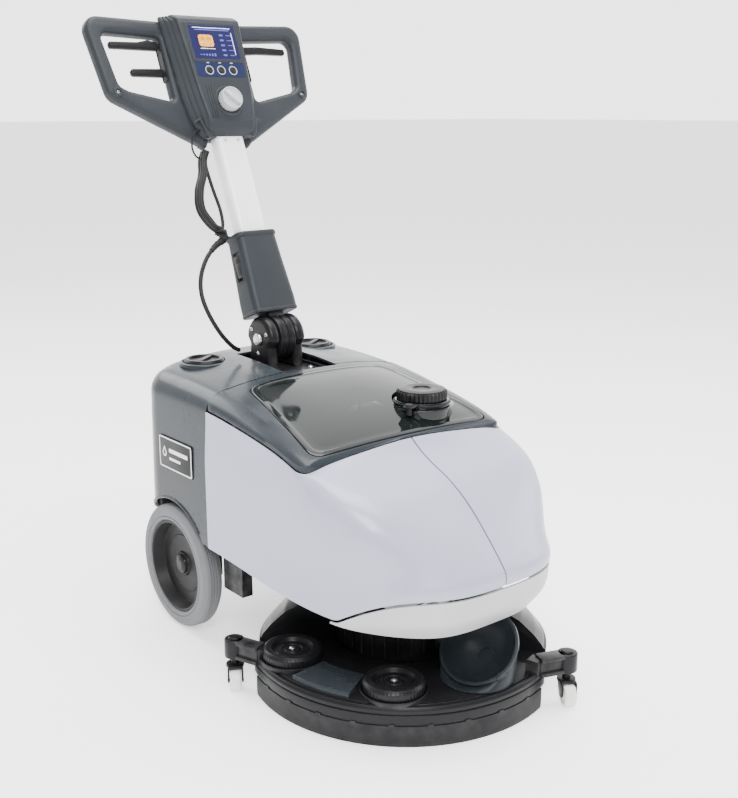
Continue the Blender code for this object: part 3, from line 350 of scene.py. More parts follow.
def frames_along(points):
    """A turning pair of directions across a path, carried along it without twisting."""
    points = [Vector(p) for p in points]
    across, made = None, []
    for i, here in enumerate(points):
        ahead = (points[min(i + 1, len(points) - 1)] - points[max(i - 1, 0)]).normalized()
        if across is None:
            across = ahead.orthogonal().normalized()
        across = (across - ahead * across.dot(ahead)).normalized()
        made.append((here, across, ahead.cross(across)))
    return made


def swept(points, stations, sides=18):
    """Rings on a path; a station is (index on the path, radius), and may turn back inside."""
    made = frames_along(points)
    rows = []
    for index, radius in stations:
        here, side, up = made[index]
        rows.append([here + (side * cos(a) + up * sin(a)) * radius for a in all_round(sides)])
    return grid(rows, ring=True, capped=True)


def hose(points, radius, sides=14):
    last = len(points) - 1
    ends = [(0, radius * 0.6), *[(i, radius) for i in range(last + 1)], (last, radius * 0.6)]
    return swept(points, ends, sides)


def evaluated(obj):
    bpy.context.view_layer.update()
    made = bpy.data.meshes.new_from_object(obj.evaluated_get(bpy.context.evaluated_depsgraph_get()))
    bpy.data.objects.remove(obj, do_unlink=True)
    bm = bmesh.new()
    bm.from_mesh(made)
    return cleaned(bm)


def slab(outlines, thickness, edge=0.0, resolution=3):
    """Flat outlines, holes included, with a thickness along z and rounded edges."""
    curve = bpy.data.curves.new("slab", "CURVE")
    curve.dimensions, curve.fill_mode = "2D", "BOTH"
    curve.extrude, curve.offset = thickness / 2 - edge, -edge
    curve.bevel_depth, curve.bevel_resolution = edge, resolution
    for outline in outlines:
        spline = curve.splines.new("POLY")
        spline.points.add(len(outline) - 1)
        for point, (x, y) in zip(spline.points, outline):
            point.co = (x, y, 0, 1)
        spline.use_cyclic_u = True
    return evaluated(linked("loose", curve))


def block(low, high, bevel=0.0, segments=2):
    bm = bmesh.new()
    bmesh.ops.create_cube(bm, size=1)
    size = [h - l for l, h in zip(low, high)]
    bmesh.ops.scale(bm, vec=size, verts=bm.verts)
    bmesh.ops.translate(bm, vec=[(h + l) / 2 for l, h in zip(low, high)], verts=bm.verts)
    if bevel:
        bmesh.ops.bevel(bm, geom=bm.edges, offset=bevel, segments=segments, profile=0.5, affect="EDGES",
            clamp_overlap=True)
    return cleaned(bm)


def moved(mesh, place):
    mesh.transform(place)
    return mesh


def joined(*meshes):
    bm = bmesh.new()
    for mesh in meshes:
        bm.from_mesh(mesh)
    return closed(bm)


def carved(mesh, cutters, operation="DIFFERENCE", wall=0.0):
    """The mesh, first thickened inwards where wall is given, with each cutter taken out."""
    obj = linked("loose", mesh)
    if wall:
        skin = obj.modifiers.new("wall", "SOLIDIFY")
        skin.thickness, skin.offset, skin.use_even_offset = wall, -1, False
    others = [linked("loose", cutter) for cutter in cutters]
    for other in others:
        modifier = obj.modifiers.new("cut", "BOOLEAN")
        modifier.operation, modifier.solver, modifier.object = operation, "EXACT", other
    made = evaluated(obj)
    for other in others:
        bpy.data.objects.remove(other, do_unlink=True)
    return made


def lathe(corners, points, steps, **options):
    """A turned shape from (radius, height, corner) rows."""
    return turned(rounded(corners, points), steps, **options)


def cylinder(radius, low, high, place=Matrix(), steps=48):
    return moved(turned([(0, high), (radius, high), (radius, low), (0, low)], steps), place)


def piece(name, mesh, place, body, material, nodes=(), bevel=0.0, angle=35, segments=2):
    """A finished piece: placed, smoothed, given its material, and riding on its body."""
    mesh.transform(place)
    obj = linked(name, mesh)
    mesh.materials.append(MATERIALS[material])
    mesh.shade_smooth()
    mesh.set_sharp_from_angle(angle=radians(angle))
    if bevel:
        soft = obj.modifiers.new("edges", "BEVEL")
        soft.width, soft.segments, soft.harden_normals = bevel, segments, True
        soft.limit_method, soft.angle_limit = "ANGLE", radians(angle)
    if body:
        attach(obj, body)
    if nodes:
        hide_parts(*nodes)
    return obj


def fine(node, mesh, place, body, material, **options):
    """The fine piece that stands for one node of the frame."""
    return piece("fine_" + node, mesh, place, body, material, nodes=(node,), **options)


def screws(name, body, places, radius=0.0042):
    """Domed screw heads with a cross recess, in one mesh."""
    head = lathe([(0, 0.0018, 0), (radius * 0.55, 0.0018, 0.0012), (radius, 0.0004, 0.0003),
        (radius, -0.001, 0), (0, -0.001, 0)], 3, 28)
    slot = radius * 0.62
    cross = [block((-slot, -0.0005, 0.0006), (slot, 0.0005, 0.003)),
        block((-0.0005, -slot, 0.0006), (0.0005, slot, 0.003))]
    head = carved(head, cross)
    return piece(name, joined(*[moved(head.copy(), place) for place in places]), Matrix(), body, "steel")


def polar(radius, angle, height=0.0):
    """A point on the deck, its angle counted from the deck's front towards -x."""
    return Vector((-radius * sin(angle), -radius * cos(angle), height))


# ---- camera, floor and light -----------------------------------------------------------
EYE, LENS_MM = (-1.0018, -1.502, 0.8008), 51.0
AZIMUTH, ELEVATION = radians(38.83), radians(14.27)
TARGET, FLOOR_HALF, FLOOR_GLOW = (0, -0.2, 0.4), 90, 0.8
SKY_BEHIND, SKY_AHEAD = 0.8, 3.4
LAMPS = (("key", (-1.6, -2.2, 2.6), 1.3, 130), ("top", (0.2, -0.1, 3.2), 2.0, 170),
    ("side", (2.6, -1.2, 1.6), 1.4, 35), ("rim", (-0.6, 2.6, 2.2), 1.4, 45))


def stage():
    """The camera, a pale floor, a sky that is brighter beyond the machine, and four lamps."""
    eye, azimuth, elevation = MACHINE @ Vector(EYE), AZIMUTH, ELEVATION
    ahead = Vector((sin(azimuth) * cos(elevation), cos(azimuth) * cos(elevation), -sin(elevation)))
    camera = linked("camera", bpy.data.cameras.new("camera"))
    camera.data.lens, camera.data.sensor_width = LENS_MM, 36
    camera.location, camera.rotation_mode = eye, "QUATERNION"
    camera.rotation_quaternion = ahead.to_track_quat("-Z", "Y")
    bpy.context.scene.camera = camera

    floor_mesh = grid([[(x * FLOOR_HALF, y * FLOOR_HALF, 0) for x in (-1, 1)] for y in (-1, 1)],
        outward=1)
    floor = linked("floor", floor_mesh)
    paper = bpy.data.materials.new("floor")
    paper.use_nodes = True
    settings(paper.node_tree.nodes["Principled BSDF"], Base_Color=(0.93, 0.93, 0.93, 1), Roughness=0.75,
        Emission_Color=(1, 1, 1, 1), Emission_Strength=FLOOR_GLOW)
    floor_mesh.materials.append(paper)

    world = bpy.data.worlds.new("studio")
    world.use_nodes = True
    nodes, links = world.node_tree.nodes, world.node_tree.links
    settings(nodes["Background"], Color=(1, 1, 1, 1))
    facing = nodes.new("ShaderNodeVectorMath")
    facing.operation = "DOT_PRODUCT"
    facing.inputs[1].default_value = (sin(azimuth), cos(azimuth), 0)
    links.new(nodes.new("ShaderNodeTexCoord").outputs["Generated"], facing.inputs[0])
    spread = nodes.new("ShaderNodeMapRange")
    spread.interpolation_type = "SMOOTHSTEP"
    settings(spread, From_Min=0.1, From_Max=0.7, To_Min=SKY_BEHIND, To_Max=SKY_AHEAD)
    links.new(facing.outputs["Value"], spread.inputs["Value"])
    links.new(spread.outputs["Result"], nodes["Background"].inputs["Strength"])
    bpy.context.scene.world = world
    target = MACHINE @ Vector(TARGET)
    for name, place, size, power in LAMPS:
        lamp = bpy.data.lights.new(name, "AREA")
        lamp.size, lamp.energy = size, power
        obj = linked(name, lamp)
        obj.location, obj.rotation_mode = Vector(place), "QUATERNION"
        obj.rotation_quaternion = (target - Vector(place)).to_track_quat("-Z", "Y")


stage()
for row in frame["record"]["subparts"]:
    node_mesh = frame["nodes"][row["node"]].data
    node_mesh.materials.clear()
    node_mesh.materials.append(MATERIALS[row["material_slot"]])


# ---- the body's surface ----------------------------------------------------------------
def quarter(half_width, length, power, count):
    """A superellipse quarter, from the side (half_width, 0) to the nose (0, length)."""
    angle = np.linspace(0, pi / 2, 900)
    x = half_width * np.cos(angle) ** (2 / power)
    y = length * np.sin(angle) ** (2 / power)
    x[-1], y[0] = 0, 0
    return even(np.stack([x, y], 1), count)


def smooth(t):
    t = np.clip(t, 0, 1)
    return t * t * (3 - 2 * t)


def top_height(x, y):
    """The height of the machine's gently crowned top."""
    run = np.clip((0.04 - y) / 0.391, 0, 1.05)
    crown = CROWN - 0.007 * smooth((run - 0.6) / 0.4)
    return TOP_HEIGHT - TOP_FALL * run ** 2.5 - crown * np.clip(abs(x) / CREST_X, 0, 1) ** 2.4


def edge_height(x, y):
    """The height of the cowl's top edge, from the parting line to the front centre."""
    reach = np.clip((PARTING_Y - y) / TOP_SHORT, 0, 1)
    corner = 0.016 * (reach * abs(x) / TOP_HALF) ** 8
    return COWL_HIGH - 0.031 * reach ** 1.3 + 0.011 * smooth(1 - abs(x) / 0.18) - corner


def rolled_height(x, y, low, inset):
    """The top, rolled over at the shoulder, at a distance in from the side."""
    roll = sqrt(max(0, 1 - (1 - min(inset / SHOULDER, 1)) ** 2))
    return low + (float(top_height(x, y)) - low) * roll


def skin_height(x, y):
    """The surface of the tray and the lid, which rolls over towards the cowl's edge."""
    front = y - PARTING_Y + TOP_SHORT
    low = float(edge_height(x, y)) - 0.004
    return rolled_height(x, y, low, max(0, min(BODY_HALF - abs(x), 5 * front)))


NOSE_LINE = catmull(NOSE[::-1], 120)
CHIN_LINE = catmull(CHIN, 61)


def cowl_row(level, count):
    """One level of the cowl, 0 at its bottom and 1 at its top, from the side to the nose."""
    nose_y, nose_z = NOSE_LINE[int(round(level * (len(NOSE_LINE) - 1)))]
    half = BODY_HALF - (BODY_HALF - TOP_HALF) * smooth((level - 0.6) / 0.4)
    length = PARTING_Y - nose_y
    outline = quarter(half, length, 3.2 + (TOP_POWER - 3.2) * level ** 2.3, count)
    reach = outline[:, 1] / length
    low = COWL_LOW - 0.017 * smooth(outline[:, 1] / 0.3)
    above = quarter(TOP_HALF, TOP_SHORT, TOP_POWER, count)
    top = edge_height(above[:, 0], PARTING_Y - above[:, 1])
    side = low + (top - low) * level
    sweep = np.sin(pi / 2 * np.clip((reach - 0.68) / 0.3, 0, 1))
    blend = reach ** 5 + (sweep - reach ** 5) * (1 - level) ** 3
    height = side + (nose_z - side) * blend * (1 - level ** 6)
    return [(x, PARTING_Y - s, z) for (x, s), z in zip(outline, height)]


def cowl(side, sign):
    """A cowl half: a moulded wall whose rim is rounded and turned in at the seam."""
    rows = [[(sign * max(x, 0.0011), min(y, PARTING_Y - SEAM), z - (level > 0.99) * SEAM / 2)
        for x, y, z in cowl_row(level, 72)] for level in np.linspace(0, 1, 60)]
    mesh = carved(grid(rows, outward=sign), [], wall=WALL)
    fine("cowl_" + side, mesh, MACHINE, "chassis", "cowl_plastic", bevel=0.0009, angle=50)


def chin_row(step, count):
    """One row of the chin, 0 under the cowl and 1 at its bottom, over the whole front."""
    chin_y, chin_z = CHIN_LINE[int(round(step * (len(CHIN_LINE) - 1)))]
    half = even(np.array(cowl_row(0, 60))[31:], count)
    along = np.linspace(0, 1, count)
    share = (CHIN[0][1] - chin_z) / (CHIN[0][1] - CHIN[-1][1])
    foot = CHIN_FOOT - 0.004 * smooth(along * 1.5)
    inset = (CHIN[0][0] - chin_y) * smooth(along * 1.7)
    middle = Vector((0, -0.3))
    row = []
    for (x, y, z), low, pull in zip(half, foot, inset):
        away = (Vector((x, y)) - middle).normalized() * pull
        row.append((x + away.x, y + away.y, (z - 0.004) * (1 - share) + low * share))
    return row + [(-x, y, z) for x, y, z in row[-2::-1]]


def chin():
    rows = [chin_row(step, 48) for step in np.linspace(1, 0, 14)]
    mesh = carved(grid(rows, outward=1), [], wall=WALL)
    fine("chin", mesh, MACHINE, "chassis", "chin_plastic", bevel=0.0009, angle=50)


def hood_row(inset, height, count):
    """A row round the back of the body, at a distance in from its outline."""
    half, back = BODY_HALF - inset, REAR_Y - inset
    corner = max(REAR_CORNER - inset, 0.012)
    arc = [(half - corner + corner * cos(a), back - corner + corner * sin(a))
        for a in np.linspace(0, pi / 2, 24)]
    dense = even([(half, PARTING_Y + SEAM), *arc, (0, back)], count)
    row = [(x, y, height(x, y)) for x, y in dense]
    return row + [(-x, y, z) for x, y, z in row[-2::-1]]


def rear_housing():
    rows = [hood_row(0, lambda x, y: COWL_LOW - 0.03 * smooth(y / REAR_Y), 56)]
    for level in np.linspace(0.35, 1, 12):
        height = 0.16 + (HOUSING_EDGE - 0.16) * level
        rows.append(hood_row(0.003 * level, lambda x, y, height=height: height, 56))
    for inset in (0.0034, 0.0045, 0.006, 0.009, 0.013, 0.018, 0.024, 0.03, 0.036, 0.043, 0.06, 0.095,
            0.141):
        rows.append(hood_row(inset,
            lambda x, y, inset=inset: rolled_height(x, y, HOUSING_EDGE, inset - 0.003), 56))
    cutters = [block((-0.048, -0.13, 0.36), (0.048, 0.026, 0.46))]
    for sign in (-1, 1):
        cutters.append(cylinder(ARCH_R - 0.0005, -0.04, 0.04, shift(sign * 0.19, 0, WHEEL_R) @ TO_X, 96))
        cutters.append(cylinder(PORT_R + 0.001, -0.03, 0.03, shift(sign * PORT_X, PORT_Y, 0.425), 64))
    mesh = carved(grid(rows, outward=1), cutters, wall=WALL)
    fine("rear_housing", mesh, MACHINE, "chassis", "housing_plastic", angle=30)
    for side, sign in SIDES:
        arch = []
        for a in np.linspace(radians(42), radians(136), 48):
            y = ARCH_R * cos(a)
            turn = min(0, REAR_Y - REAR_CORNER - y)
            x = BODY_HALF - 0.0006 - REAR_CORNER + sqrt(REAR_CORNER ** 2 - turn ** 2)
            arch.append((sign * x, y, WHEEL_R + ARCH_R * sin(a)))
        piece(f"arch_bead_{side}", hose(arch, 0.0022), MACHINE, "chassis", "housing_plastic")


def lid_point(across, back, grow):
    """The point of the lid's outline in a direction, the outline being wider at the front."""
    part = hypot(across, back)
    along = copysign((abs(back) / part) ** (2 / LID_POWER), back)
    side = copysign((abs(across) / part) ** (2 / LID_POWER), across)
    half = LID_HALF_X + grow - LID_SPREAD * along
    return (-half * side, LID_MIDDLE_Y + (LID_HALF_Y + grow) * along)


def lid_outline(grow, count):
    """The closed outline of the lid's opening, counted from the back's middle to -x."""
    dense = [lid_point(sin(a), cos(a), grow) for a in np.linspace(0, tau, 3000)]
    return [tuple(p) for p in even(dense, count + 1)[:-1]]


def tray_outline(count):
    """The closed outline of the tray round the lid, in step with lid_outline."""
    front = quarter(TOP_HALF - 0.0006, TOP_SHORT - 0.0006, TOP_POWER, 800)
    back = PARTING_Y - SEAM
    left = [(-x, min(PARTING_Y - s, back)) for x, s in front]
    ring = [(0.0, back), *left, *[(-x, y) for x, y in left[-2::-1]], (0.0, back)]
    return [tuple(p) for p in even(ring, count + 1)[:-1]]


def top_tray():
    """The tray's section as rings: band, roll and land, the lid's well, and the inside."""
    count, wall, well = 208, 0.0024, 0.009
    outer = tray_outline(count)
    inner = []
    for x, y in outer:
        across, back = -x / TOP_HALF, (y - PARTING_Y + TOP_SHORT / 2) / (TOP_SHORT / 2)
        bent = [copysign(abs(v) ** (LID_POWER / 2), v) for v in (across, back)]
        inner.append(lid_point(*bent, 0.0012))

    def ring(place, height):
        row = []
        for (x0, y0), (x1, y1) in zip(outer, inner):
            part = place(hypot(x1 - x0, y1 - y0))
            x, y = x0 + (x1 - x0) * part, y0 + (y1 - y0) * part
            edge = float(edge_height(x0, y0)) + SEAM
            skin = max(edge + 0.0012, skin_height(x, y))
            low = max(edge, skin - 0.01) if y0 > PARTING_Y - 2 * SEAM else edge
            row.append((x, y, height(low, skin)))
        return row

    rows = [ring(lambda span: 0, lambda low, skin: low)]
    for part in (0.012, 0.03, 0.06, 0.1, 0.15, 0.2, 0.27, 0.36, 0.46, 0.58, 0.72, 0.86, 0.955, 0.98):
        rows.append(ring(lambda span, part=part: part, lambda low, skin: skin))
    for place, drops in ((lambda span: 1, (0.0005, 0.0012, well)),
            (lambda span: 1 - wall / span, (well, wall)), (lambda span: 0.5, (wall,))):
        for drop in drops:
            rows.append(ring(place, lambda low, skin, drop=drop: skin - drop))
    rows.append(ring(lambda span: wall / span, lambda low, skin: low))
    mesh = carved(grid(rows, ring=True, loop=True),
        [block((-0.048, -0.1165, 0.36), (0.048, -0.09, 0.46))])
    fine("top_tray", mesh, MACHINE, "chassis", "housing_plastic", angle=40)


def lid():
    """The smoked cover, with a step round its edge and a shallow panel pressed into it."""
    rings = []
    for scale, drop in ((0.2, 0.003), (0.6, 0.003), (0.965, 0.003), (0.975, 0.007), (0.999, 0.007),
            (1, 0.0062), (1, 0.0016), (0.998, 0.0006), (0.992, 0.0001), (0.985, 0), (0.94, 0),
            (0.935, 0.0004), (0.925, 0.0006), (0.86, 0.0005), (0.78, 0.0003), (0.7, 0.0002), (0.6, 0),
            (0.48, 0), (0.34, 0), (0.2, 0)):
        ring = [(x * scale, LID_MIDDLE_Y + (y - LID_MIDDLE_Y) * scale) for x, y in lid_outline(0, 144)]
        rings.append([(x, y, skin_height(x, y) + 0.0005 - drop) for x, y in ring])
    hole = cylinder(0.0449, -0.04, 0.04, shift(FILL_X, FILL_Y, 0.395), 64)
    mesh = carved(grid(rings, ring=True, capped=True), [hole])
    fine("lid", mesh, MACHINE, "lid", "lid_plastic", angle=30)


def label():
    """A dark plate with a pale border, a drop and two plain bars; it says nothing."""
    place = MACHINE @ shift(-0.18955, -0.018, 0.286) @ spin(-90) @ TO_FACE
    fine("label_plate", slab([box_outline(0.1, 0.052, 0.004)], 0.0012, 0.0004), place, "chassis",
        "black_plastic")
    parts = [slab([box_outline(0.0975, 0.0495, 0.0032), box_outline(0.0935, 0.0455, 0.0018)], 0.0004)]
    drop = [(0, 0.0085)] + [(0.0058 * cos(a), -0.003 + 0.0058 * sin(a))
        for a in np.linspace(radians(30), radians(-210), 18)]
    hollow = [(0.62 * x, -0.0008 + 0.62 * y) for x, y in drop]
    parts.append(moved(slab([drop, hollow], 0.0004), shift(-0.033, 0.002, 0)))
    for width, height, x, y in ((0.056, 0.0062, 0.009, 0.0055), (0.034, 0.0042, -0.002, -0.0075)):
        parts.append(moved(slab([box_outline(width, height, 0.0012)], 0.0004), shift(x, y, 0)))
    piece("label_print", joined(*parts), place @ shift(0, 0, 0.0007), "chassis", "print_white")


def ports():
    for side, sign in SIDES:
        top = float(top_height(PORT_X, PORT_Y))
        profile = rounded([(0, 0.0028, 0), (0.0235, 0.0028, 0.0008), (0.0245, 0.0066, 0.001),
            (0.029, 0.0068, 0.0014), (PORT_R, 0.003, 0.0016), (PORT_R, -0.01, 0), (0, -0.01, 0)], 4)
        bar = moved(slab([box_outline(0.046, 0.0075, 0.0035)], 0.004, 0.0012), shift(0, 0, 0.0044))
        turn = spin(35)
        place = MACHINE @ shift(sign * PORT_X, PORT_Y, top - 0.001)
        fine("port_cap_" + side,
            joined(turned(profile, 96, ridges=48, ridge_depth=0.0005), moved(bar, turn)), place,
            "port_cap_" + side, "black_plastic")
        ring = rounded(mm((34.5, -4, 0), (34.5, 3, 1), (39.5, 1.2, 1), (39.5, -4, 0)), 4)
        piece(f"port_rim_{side}", turned(ring[::-1], 72), place, "chassis", "housing_plastic")


def filler():
    """The flanged neck, the knurled cap and the strap that keeps it on the lid."""
    place = MACHINE @ shift(FILL_X, FILL_Y, float(top_height(FILL_X, FILL_Y)))
    neck = rounded(mm((34, 9, 0.8), (40.5, 9, 0.8), (41, 2, 1.5), (48, 1.2, 0.8), (48, -1, 0),
        (44.5, -1, 0), (44.5, -14, 0), (34, -14, 0)), 4)
    fine("fill_neck", turned(neck, 72), place, "lid", "lid_plastic")
    cap = rounded([(0, 0.0225, 0), (0.013, 0.0225, 0.001), (0.0145, 0.0245, 0.0008),
        (0.0255, 0.0252, 0.001), (0.0345, 0.0242, 0.002), (FILL_R, 0.0205, 0.0016),
        (FILL_R, 0.01, 0.0008), (0.032, 0.0094, 0), (0.032, -0.003, 0), (0, -0.003, 0)], 4)
    fine("fill_cap", turned(cap, 216, ridges=36, ridge_depth=0.0016), place, "fill_cap", "black_plastic",
        angle=28)
    ring = lathe(mm((33, 4.6, 0), (33, 7, 0), (43.2, 7, 0.8), (43.2, 4.6, 0.8))[::-1], 3, 64)
    strap = rounded(mm((-64, -7.5, 4), (-40, -9.5, 0), (-40, 9.5, 0), (-64, 7.5, 4)), 4)
    turn = spin(30)
    tab = moved(slab([strap], 0.0024, 0.0007), turn @ shift(0, 0, 0.009))
    post = turn @ shift(-0.057, 0, 0)
    stud = cylinder(0.004, -0.003, 0.0125, post, 24)
    boss = moved(lathe(mm((0, 13.5, 0), (5.8, 13.5, 1.4), (5.8, 10.3, 0), (0, 10.3, 0)), 3, 24), post)
    piece("fill_strap", joined(ring, tab, stud, boss), place, "lid", "black_rubber")


# ---- wheels ----------------------------------------------------------------------------
def rear_wheel(side, sign):
    """A solid grey tyre with a beaded wall, and a deep dark hub with a capped boss."""
    outer, inner = WHEEL_FACE_X, WHEEL_FACE_X - TYRE_WIDTH
    wall = [(0.0749, outer - 0.0035, 0), (0.0765, outer - 0.0012, 0.001), (0.08, outer - 0.0008, 0.001),
        (0.0806, outer - 0.002, 0.0003), (0.0818, outer - 0.002, 0.0003),
        (0.0826, outer - 0.0004, 0.0008), (0.0925, outer - 0.0008, 0.004),
        (0.0985, outer - 0.006, 0.004)]
    grooves = []
    for middle in (outer - 0.0135, outer - 0.018, outer - 0.0225):
        grooves += [(WHEEL_R, middle + 0.001, 0.0003), (WHEEL_R - 0.0012, middle + 0.0006, 0),
            (WHEEL_R - 0.0012, middle - 0.0006, 0), (WHEEL_R, middle - 0.001, 0.0003)]
    mirror = [(r, outer + inner - z, radius) for r, z, radius in reversed(wall)]
    tyre = rounded([*wall, (WHEEL_R, outer - 0.0105, 0.003), *grooves, (WHEEL_R, inner + 0.0105, 0.003),
        *mirror], 4)
    hub = rounded([(HUB_R, outer - 0.004, 0.001), (HUB_R, inner + 0.004, 0), (0.069, inner + 0.004, 0),
        (0.067, outer - 0.027, 0), (0.02, outer - 0.027, 0), (0.02, inner, 0.001), (0.0063, inner, 0),
        (0.0063, outer - 0.017, 0), (0.018, outer - 0.018, 0.001), (0.02, outer - 0.022, 0.0015),
        (0.044, outer - 0.022, 0.0006), (0.0448, outer - 0.0212, 0.0004),
        (0.0466, outer - 0.0212, 0.0004), (0.0474, outer - 0.022, 0.0006), (0.064, outer - 0.022, 0.002),
        (0.07, outer - 0.004, 0.001)], 4)
    place = MACHINE @ shift(0, 0, WHEEL_R) @ TO_X
    body = "wheel_" + side
    for node, profile, material in (("tyre", tyre, "tyre_rubber"), ("hub", hub, "hub_plastic")):
        if sign < 0:
            profile = [(r, -z) for r, z in profile][::-1]
        fine(f"{node}_{side}", turned(profile, 96), place, body, material)
    face = sign * (outer - 0.018)
    cap = rounded(mm((0, 6.2, 0), (8, 6.2, 2), (15, 4, 2), (16.5, 0.4, 0.4), (0, 0.4, 0)), 4)
    cap = moved(turned(cap, 48), shift(0, 0, face) @ (Matrix() if sign > 0 else spin(180, "X")))
    piece(f"hub_cap_{side}", cap, place, body, "black_plastic")


# ---- mast ------------------------------------------------------------------------------
def mast_bracket():
    """A pan let into the top, two round ears on gussets, and their screws."""
    base = block((-0.0474, -0.116, 0.398), (0.0474, 0.0254, 0.404), 0.0012)
    rim = slab([[(x, y - 0.0453) for x, y in box_outline(0.0948, 0.1414, 0.006)],
        [(x, y - 0.0453) for x, y in box_outline(0.088, 0.1346, 0.004)]], 0.006, 0.0008)
    parts = [base, moved(rim, shift(0, 0, 0.4062))]
    spots = []
    for sign in (-1, 1):
        low, high = sorted((sign * (KNUCKLE_HALF + 0.0006), sign * EAR_OUT))
        middle, width = (low + high) / 2, high - low
        side = rounded([(-0.03, -0.0465, 0), (0.03, -0.0465, 0), (0.0285, -0.01, 0.004),
            (KNUCKLE_R, 0, 0), *[(KNUCKLE_R * cos(a), KNUCKLE_R * sin(a), 0)
            for a in np.linspace(0.05, pi - 0.05, 60)], (-KNUCKLE_R, 0, 0), (-0.0285, -0.01, 0.004)], 4)
        ear = moved(slab([side], width, 0.0085, 8), shift(middle, MAST_Y, MAST_Z) @ spin(90) @ TO_FACE)
        parts.append(ear)
        for angle in (35, 155, 275):
            a = radians(angle)
            spots.append(shift(sign * (EAR_OUT - 0.0002), MAST_Y + 0.0235 * cos(a), MAST_Z
                + 0.0235 * sin(a)) @ spin(sign * 90, "Y"))
    fine("mast_bracket", joined(*parts), MACHINE, "chassis", "black_plastic")
    screws("bracket_screws", "chassis", [MACHINE @ spot for spot in spots], 0.0038)
    feet = [MACHINE @ shift(x, y, 0.4045) for x in (-0.034, 0.034) for y in (-0.098, -0.066)]
    screws("pan_screws", "chassis", feet, 0.0042)
    half = EAR_OUT + GAP
    pin = rounded([(0, half + 0.003, 0), (0.004, half + 0.003, 0), (0.0046, half + 0.0044, 0.0006),
        (0.009, half + 0.004, 0.0016), (0.0105, half, 0.0004), (PIN_R, half, 0), (PIN_R, -half, 0),
        (0.0105, -half, 0.0004), (0.009, -half - 0.004, 0.0016), (0, -half - 0.0044, 0)], 3)
    fine("hinge_pin", turned(pin, 48), MACHINE @ shift(0, MAST_Y, MAST_Z) @ TO_X, "chassis", "steel")


def circle_outline(radius, count, x=0.0, y=0.0):
    return [(x + radius * cos(tau * i / count), y + radius * sin(tau * i / count)) for i in range(count)]


def knuckle():
    """The mast's foot between the ears: a drum with a groove round it, and its neck."""
    drum = rounded(two_sided([(PIN_R + GAP, KNUCKLE_HALF, 0), (KNUCKLE_R, KNUCKLE_HALF, 0.0016),
        (KNUCKLE_R, 0.003, 0.0008), (KNUCKLE_R - 0.0022, 0.0018, 0.0004)]), 3)
    neck = block((-KNUCKLE_HALF, -0.018, 0.024), (KNUCKLE_HALF, 0.018, SLEEVE_LOW - GAP), 0.0015)
    fine("knuckle", joined(moved(turned(drum, 96), TO_X), neck), MAST, "mast", "black_plastic")


def ring_section(width, depth, corner, height):
    return [(x, y, height) for x, y in box_outline(width, depth, corner, points=8)]


def sleeve():
    """The moulded socket: flared foot, drawn-in waist, collar, panel lines and a latch window."""
    spans = mm((38.5, 80, 51.5), (39.5, 82.2, 53.5), (43, 83, 54), (44, 81.5, 52.8), (60, 81.5, 52.6),
        (90, 78.5, 49.8), (120, 75.5, 47.4), (150, 73, 45.6), (162, 72, 45), (164, 72, 44.8),
        (165.2, 74.2, 47), (166.8, 75, 48), (170.5, 75, 48), (172, 73.6, 46.6))
    sections = [ring_section(w, d, 0.0115, z) for z, w, d in spans]
    tube_room = block((-TUBE_W / 2 - GAP, -TUBE_D / 2 - GAP, 0.0595),
        (TUBE_W / 2 + GAP, TUBE_D / 2 + GAP, 0.2))
    window = block((-0.05, -0.0078, 0.0965), (-0.0335, 0.0078, 0.1435), 0.0006)
    mesh = carved(grid(sections, ring=True, capped=True), [tube_room, window])
    fine("sleeve", mesh, MAST, "mast", "handle_plastic", angle=28)
    frame_line = slab([box_outline(0.0205, 0.052, 0.003), box_outline(0.016, 0.0476, 0.0016)], 0.0016,
        0.0005)
    lean = atan2(0.003, 0.06)
    window_frame = (shift(-0.0378, 0, 0.12) @ Matrix.Rotation(lean, 4, "Y") @ spin(-90) @ TO_FACE)
    piece("latch_frame", moved(frame_line, window_frame), MAST, "mast", "handle_plastic")
    ribs = [block((-0.0057, -0.0055, z - 0.0008), (-0.0044, 0.0055, z + 0.0008), 0.0003)
        for z in np.linspace(-0.013, 0.001, 6)]
    body = block((-0.0048, -0.0068, -0.018), (-0.0019, 0.0068, 0.018), 0.0007)
    nose = block((-0.0066, -0.006, 0.0075), (-0.004, 0.006, 0.013), 0.001)
    fine("height_latch", joined(body, nose, *ribs), MAST @ shift(-0.0338, 0, 0.12), "height_latch",
        "black_plastic")


def mast_tube():
    """A white tube with a row of height holes on its back."""
    sections = [ring_section(TUBE_W, TUBE_D, 0.01, z) for z in (TUBE_LOW, 0.2, 0.3, TUBE_HIGH)]
    holes = [cylinder(0.0036, -0.02, 0.0, shift(0, 0.0278, z) @ TO_FACE, 24)
        for z in (0.212, 0.232, 0.252, 0.272)]
    mesh = carved(grid(sections, ring=True, capped=True), holes)
    fine("mast_tube", mesh, MAST, "handle", "white_paint", angle=28)
    spots = [MAST @ shift(x, -TUBE_D / 2, 0.3265) @ TO_FACE for x in (-0.012, 0.012)]
    screws("tube_screws", "handle", spots, 0.0026)


# ---- handle and console ----------------------------------------------------------------
def handle_outlines():
    half = rounded(mm((0, 536, 0), (74, 536, 4), (90, 536.5, 20), (204.5, 541, 24), (188.5, 406.5, 24),
        (50, 329, 6), (40, 319.5, 4), (31, 334, 6), (0, 335.5, 0)), 8)
    hole = rounded(mm((78, 508, 6), (179, 513, 12), (166.5, 425, 14), (152, 417, 12), (78, 400, 6)), 7)
    return [mirrored(half), hole, [(-x, y) for x, y in hole[::-1]]]


def tube_socket(high):
    return block((-TUBE_W / 2 - GAP, -TUBE_D / 2 - GAP, 0.28), (TUBE_W / 2 + GAP, TUBE_D / 2 + GAP, high))


